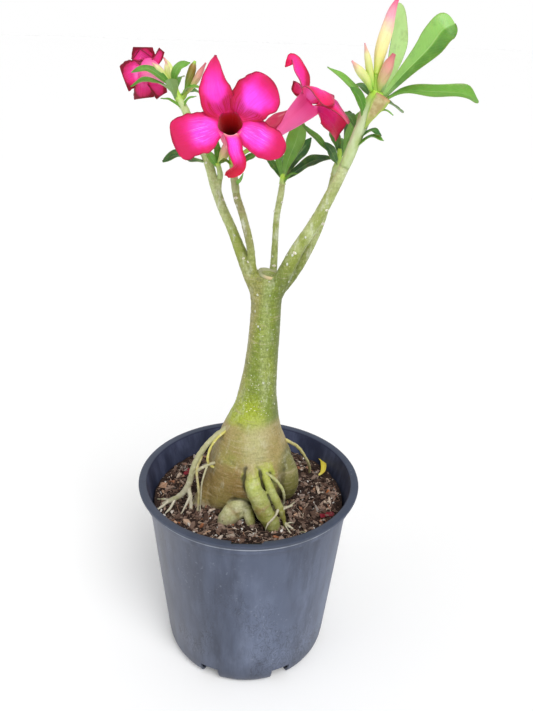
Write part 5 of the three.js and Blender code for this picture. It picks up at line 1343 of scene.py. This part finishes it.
def makeFlower(name, place, slot, values):
    flower = flowers[place]
    draw = random.Random(name)
    tube, mouth = flower["tube"], flower["mouth"]
    middle = Vector(tube[2])
    axis = (middle - Vector(tube[1])).normalized()
    first = (Vector((0, 0, 1)) - axis * axis.z).normalized()
    second = axis.cross(first)

    def outward(angle):
        return first * math.cos(angle) + second * math.sin(angle)

    petals = []
    for petal in flower["petals"]:
        petal = dict(zip(("rib", "width", "outline", "cup", "tone", "facing"), petal))
        reach = Vector(petal["rib"][0]) - middle
        heading = math.atan2(reach.dot(second), reach.dot(first))
        rim = tuple(middle + first * mouth * math.cos(heading) + second * mouth * math.sin(heading))
        petals.append({"facing": flower["facing"], **petal, "rib": [rim, *petal["rib"]], "heading": heading})
    petals.sort(key=lambda petal: petal["heading"])
    columns, count, thin = values["columns"], len(petals), values["thin"]
    angles, owners = [], []
    for at, petal in enumerate(petals):
        if petal.get("tone") is None:
            petal["tone"] = at / count * 0.8
        before = petals[at - 1]["heading"] - (2 * math.pi if at == 0 else 0)
        after = petals[(at + 1) % count]["heading"] + (2 * math.pi if at == count - 1 else 0)
        start, end = (before + petal["heading"]) / 2, (petal["heading"] + after) / 2
        for column in range(columns):
            angles.append(start + (end - start) * column / columns)
            owners.append((petal["tone"], 2 * column / columns - 1))
    shape = Shape()
    at, way = smoothCurve(tube)
    radiusAt = smoothValue([share * mouth for share in values["tube"]])

    def ring(share, inset, back):
        centre, along = at(share), way(share)
        up = (first - along * first.dot(along)).normalized()
        over = along.cross(up)
        radius = (radiusAt(share) - inset) * mm
        row = []
        for angle, (tone, across) in zip(angles, owners):
            flute = 1 + values["flute"] * math.cos(5 * (angle - petals[0]["heading"])) * share
            row.append(shape.point(centre + (up * math.cos(angle) + over * math.sin(angle)) * radius * flute, share,
                                   across, tone, back))
        return row

    rows, floor = values["tubeRows"], values["floor"]
    inner = [ring(floor + (1 - floor) * row / rows, values["throatWall"], 0) for row in range(rows + 1)]
    outer = [ring(row / rows, 0, 1) for row in range(rows + 1)]
    shape.grid(inner, closed=True, flip=True)
    shape.grid(outer, closed=True)
    shape.face(*inner[0])
    shape.face(*reversed(outer[0]))
    for index, petal in enumerate(petals):
        ends = [(index * columns + column) % len(angles) for column in range(columns + 1)]
        tops, unders = [[inner[-1][end] for end in ends]], [[outer[-1][end] for end in ends]]
        ribAt, ribWay = smoothCurve(petal["rib"])
        outlineAt = smoothValue(outlines[petal["outline"]])
        facing = Vector(petal["facing"]).normalized()
        phase, ruffle = draw.uniform(0, phases), values["ruffle"]
        for row in range(1, values["petalRows"] + 1):
            share, shrink = rounded(row / values["petalRows"], blunt.get(petal["outline"], 1))
            centre, along = ribAt(share), ribWay(share)
            across = facing.cross(along).normalized()
            up = along.cross(across)
            half = max(outlineAt(share) * shrink * petal["width"] / 2, values["least"]) * mm
            grow = step01(share, 0.0, flower["join"])  # 0 at the tube's rim, 1 where the petal has its own shape
            top, under = [], []
            for column in range(columns + 1):
                offset = 2 * column / columns - 1
                edge = abs(offset)
                lift = petal["cup"] * half * offset * offset
                lift += ruffle * half * math.sin(phase + 9 * share + 2.2 * offset) * (edge ** 2 + share ** 3)
                crease = values["crease"] * half * math.exp(-(offset / values["creaseWidth"]) ** 2)
                lift -= crease * math.sin(math.pi * share)
                wander = 1 + 0.035 * math.sin(phase + 13 * share + 2 * offset) + 0.02 * math.sin(phase + 31 * share)
                spot = centre + across * offset * half * wander + up * lift
                lean = outward(angles[ends[column]])
                rim = (middle + lean * (mouth - 0.5)) * mm
                spot = rim.lerp(spot, grow) if grow < 1 else spot
                skin = values["thickness"] / 2 * mm * (1 - thin["edge"] * edge ** 4) * (1 - thin["tip"] * share)
                normal = (lean * -1).lerp(up, grow).normalized()
                top.append(shape.point(spot + normal * skin, 1 + share, offset, petal["tone"], 0))
                under.append(shape.point(spot - normal * skin, 1 + share, offset, petal["tone"], 1))
            tops.append(top)
            unders.append(under)
        shape.sheet(tops, unders, flip=True, start=False)
    shape.build(pieceName(name), [petalFinish(pieceName(name) + "Silk", values[place])], slot, name)


makeFlower("flower_front", "front", "petal", flowerValues)
makeFlower("flower_left", "left", "petal_dark", flowerValues)
makeFlower("flower_side", "side", "petal", flowerValues)
print("flowers made")

# Buds: furled spindles whose petals wind round each other

buds = {
    "buds_left_tip": [
        ([[-63, 19.5, 513], [-69, 17, 519], [-73, 15, 524], [-77, 13, 528]], [1, 2.3, 2.2, 0.5]),
        ([[-63, 19.5, 512], [-66, 18, 520], [-67, 17, 525], [-67, 16, 529]], [1, 2, 1.8, 0.5]),
        ([[-63, 19.5, 513], [-63, 21, 519], [-60, 22, 525]], [0.9, 1.6, 0.5]),
        ([[-63, 20, 513], [-64, 26, 520], [-67, 30, 526], [-71, 33, 531]], [1, 2.1, 2, 0.5]),
    ],
    "bud_left_olive": [
        ([[-53.5, 18.5, 508], [-51, 18, 516], [-48, 17, 525], [-46, 17, 530]], [1.4, 2.7, 2.8, 0.9]),
    ],
    "bud_left_pink": [
        ([[-54, 19, 506], [-48, 17, 513], [-43, 15, 521], [-38, 13, 529]], [0.9, 2, 2.4, 0.6]),
    ],
    "bud_twig": [
        ([[-28, 2, 460], [-24, -2, 466], [-22, -4, 472], [-22, -6, 478]], [1.4, 3.6, 3.4, 0.8]),
    ],
    "bud_flower_stem": [
        ([[4, -8, 483], [9, -12, 489], [15, -14, 494], [23, -15, 500]], [1.8, 4.2, 4.4, 1.2]),
    ],
    "bud_right_large": [
        ([[80.5, -31, 527], [82, -32, 541], [84.5, -33, 554], [87, -34, 566], [90.5, -35, 575]],
         [2.2, 4.1, 4.2, 2.7, 0.7]),
    ],
    "bud_right_1": [
        ([[79, -31, 519], [76, -33, 527], [73, -36, 537], [70, -38, 546]], [1.2, 2.5, 2.2, 0.4]),
    ],
    "bud_right_2": [
        ([[78, -31, 516], [74, -34, 523], [68, -38, 529], [62, -42, 535]], [1.2, 2.6, 2.8, 0.6]),
    ],
    "bud_right_3": [
        ([[83, -31, 516], [84.5, -33, 523], [87, -36, 532], [90, -38, 540]], [1.2, 3.4, 3.8, 1.4]),
    ],
}
budValues = {
    "ridges": 5,
    "depth": 0.09,
    "twist": 2.4,
    "seamWidth": 0.06,
    "sides": 60,
    "steps": 46,
    # the colours of each kind of bud, with their places from the stalk 0 to the tip 1, and of its furled seams
    "green": [(0.0, "9ccf45"), (0.35, "cfe07a"), (0.75, "e2e0a0"), (1.0, "dd8a98")],
    "large": [(0.0, "b5dc4e"), (0.2, "ece592"), (0.48, "f8e6ae"), (0.68, "f4a8b6"), (1.0, "d93a78")],
    "pink": [(0.0, "a9c860"), (0.3, "c9c07c"), (0.7, "d8988a"), (1.0, "c05c6c")],
    "olive": [(0.0, "6fa43a"), (0.35, "7d8a3a"), (0.8, "94732f"), (0.93, "8fc23f"), (1.0, "b6dd5a")],
    "dark": [(0.0, "e2707f"), (0.35, "cf3f62"), (1.0, "a81f45")],
    "seam": {"green": "b7924f", "large": "ef9a7c", "pink": "a05563", "olive": "5f4a22", "dark": "7a1230"},
}


def budFinish(kind, values):
    furl = Finish(kind + "Bud", {"Roughness": 0.4, "Subsurface Weight": 0.1, "Subsurface Scale": 0.003})
    along, seam = furl.mark("along"), furl.mark("back")
    cloud = furl.grain(160, 4)
    shade = furl.ramp(along + (cloud - 0.5) * 0.25, values[kind])
    furl.give("Base Color", shade.under(seam.rise(0.55, 1.0) * 0.55, values["seam"][kind]))
    furl.bump(cloud, 0.0004, 0.5)
    return furl


def makeBuds(name, slot, kind, values):
    shape = Shape()

    def furl(angle, share):  # how far round a petal a place lies, from 0 to 1
        return (values["ridges"] * (angle - values["twist"] * share) / (2 * math.pi)) % 1.0

    def furled(angle, share):
        turn = furl(angle, share)
        fade = math.sin(math.pi * min(share * 1.15, 1.0)) ** 0.5
        return values["depth"] * fade * (turn - 0.5 - 1.1 * math.exp(-((turn - 1) / values["seamWidth"]) ** 2) * 0.4)

    angles = turns(values["sides"])
    for bud in buds[name]:
        start = len(shape.points)
        addRod(shape, *bud, sides=len(angles), steps=values["steps"], ridges=furled)
        for at in range(start, len(shape.points)):
            shape.marks["back"][at] = furl(angles[(at - start) % len(angles)], shape.marks["along"][at]) ** 6
    shape.build(pieceName(name), [madeBuds[kind]], slot, name)


madeBuds = {kind: budFinish(kind, budValues) for kind in ("green", "large", "pink", "olive", "dark")}
for name, slot, kind in (
        ("bud_right_large", "bud_green", "large"), ("bud_right_1", "bud_green", "green"),
        ("bud_right_2", "bud_green", "green"), ("bud_right_3", "bud_pink", "pink"),
        ("buds_left_tip", "bud_green", "green"), ("bud_left_olive", "bud_olive", "olive"),
        ("bud_left_pink", "bud_pink", "pink"), ("bud_twig", "bud_pink", "pink"),
        ("bud_flower_stem", "bud_dark", "dark")):
    makeBuds(name, slot, kind, budValues)
print("buds made")

# What has dropped on the mix

# each one: its rib, width and outline
fallen = {
    "fallen_leaf": ([[67.6, 30.5, 160.4], [72.4, 38, 161.5], [73.0, 51, 162.8], [68.4, 63, 163.5]], 5.4, "lance"),
    "fallen_petal_front": ([[64, -33, 160.4], [71, -32, 161.2], [76, -28, 160.4]], 7, "longPetal"),
    "fallen_petal_left": ([[-62, 30, 159.1], [-58, 35, 160.1], [-54, 38, 159.1]], 6, "roundPetal"),
}
fallenValues = {
    "seed": 4,
    "blade": {"wave": 0.1, "groove": 0.15},
    "leaf": {"deep": "a8862a", "dark": "b89a2e", "mid": "d0b93a", "light": "ded04a", "pale": "e6dd6a",
             "rib": "efe9a0", "under": "c4b45a", "edge": "8a6a2c"},
    "petal": {"deep": "3a0812", "dark": "560c1a", "mid": "700d20", "light": "8a1428", "pale": "a02236",
              "rib": "8a1a30", "under": "641828", "edge": "3a0c16"},
}


def makeFallen(values):
    draw = random.Random(values["seed"])
    for name, (rib, width, outline) in fallen.items():
        kind, slot = ("leaf", "fallen_leaf") if name == "fallen_leaf" else ("petal", "fallen_petal")
        shape = Shape()
        addBlade(shape, {**leafValues, **values["blade"]}, draw, rib, width, 0.6, (0, 0, 1), outline)
        shape.build(pieceName(name), [leafFinish(kind + "Dropped" + name[-5:], values[kind])], slot, name)


makeFallen(fallenValues)
print("fallen leaf and petals made")
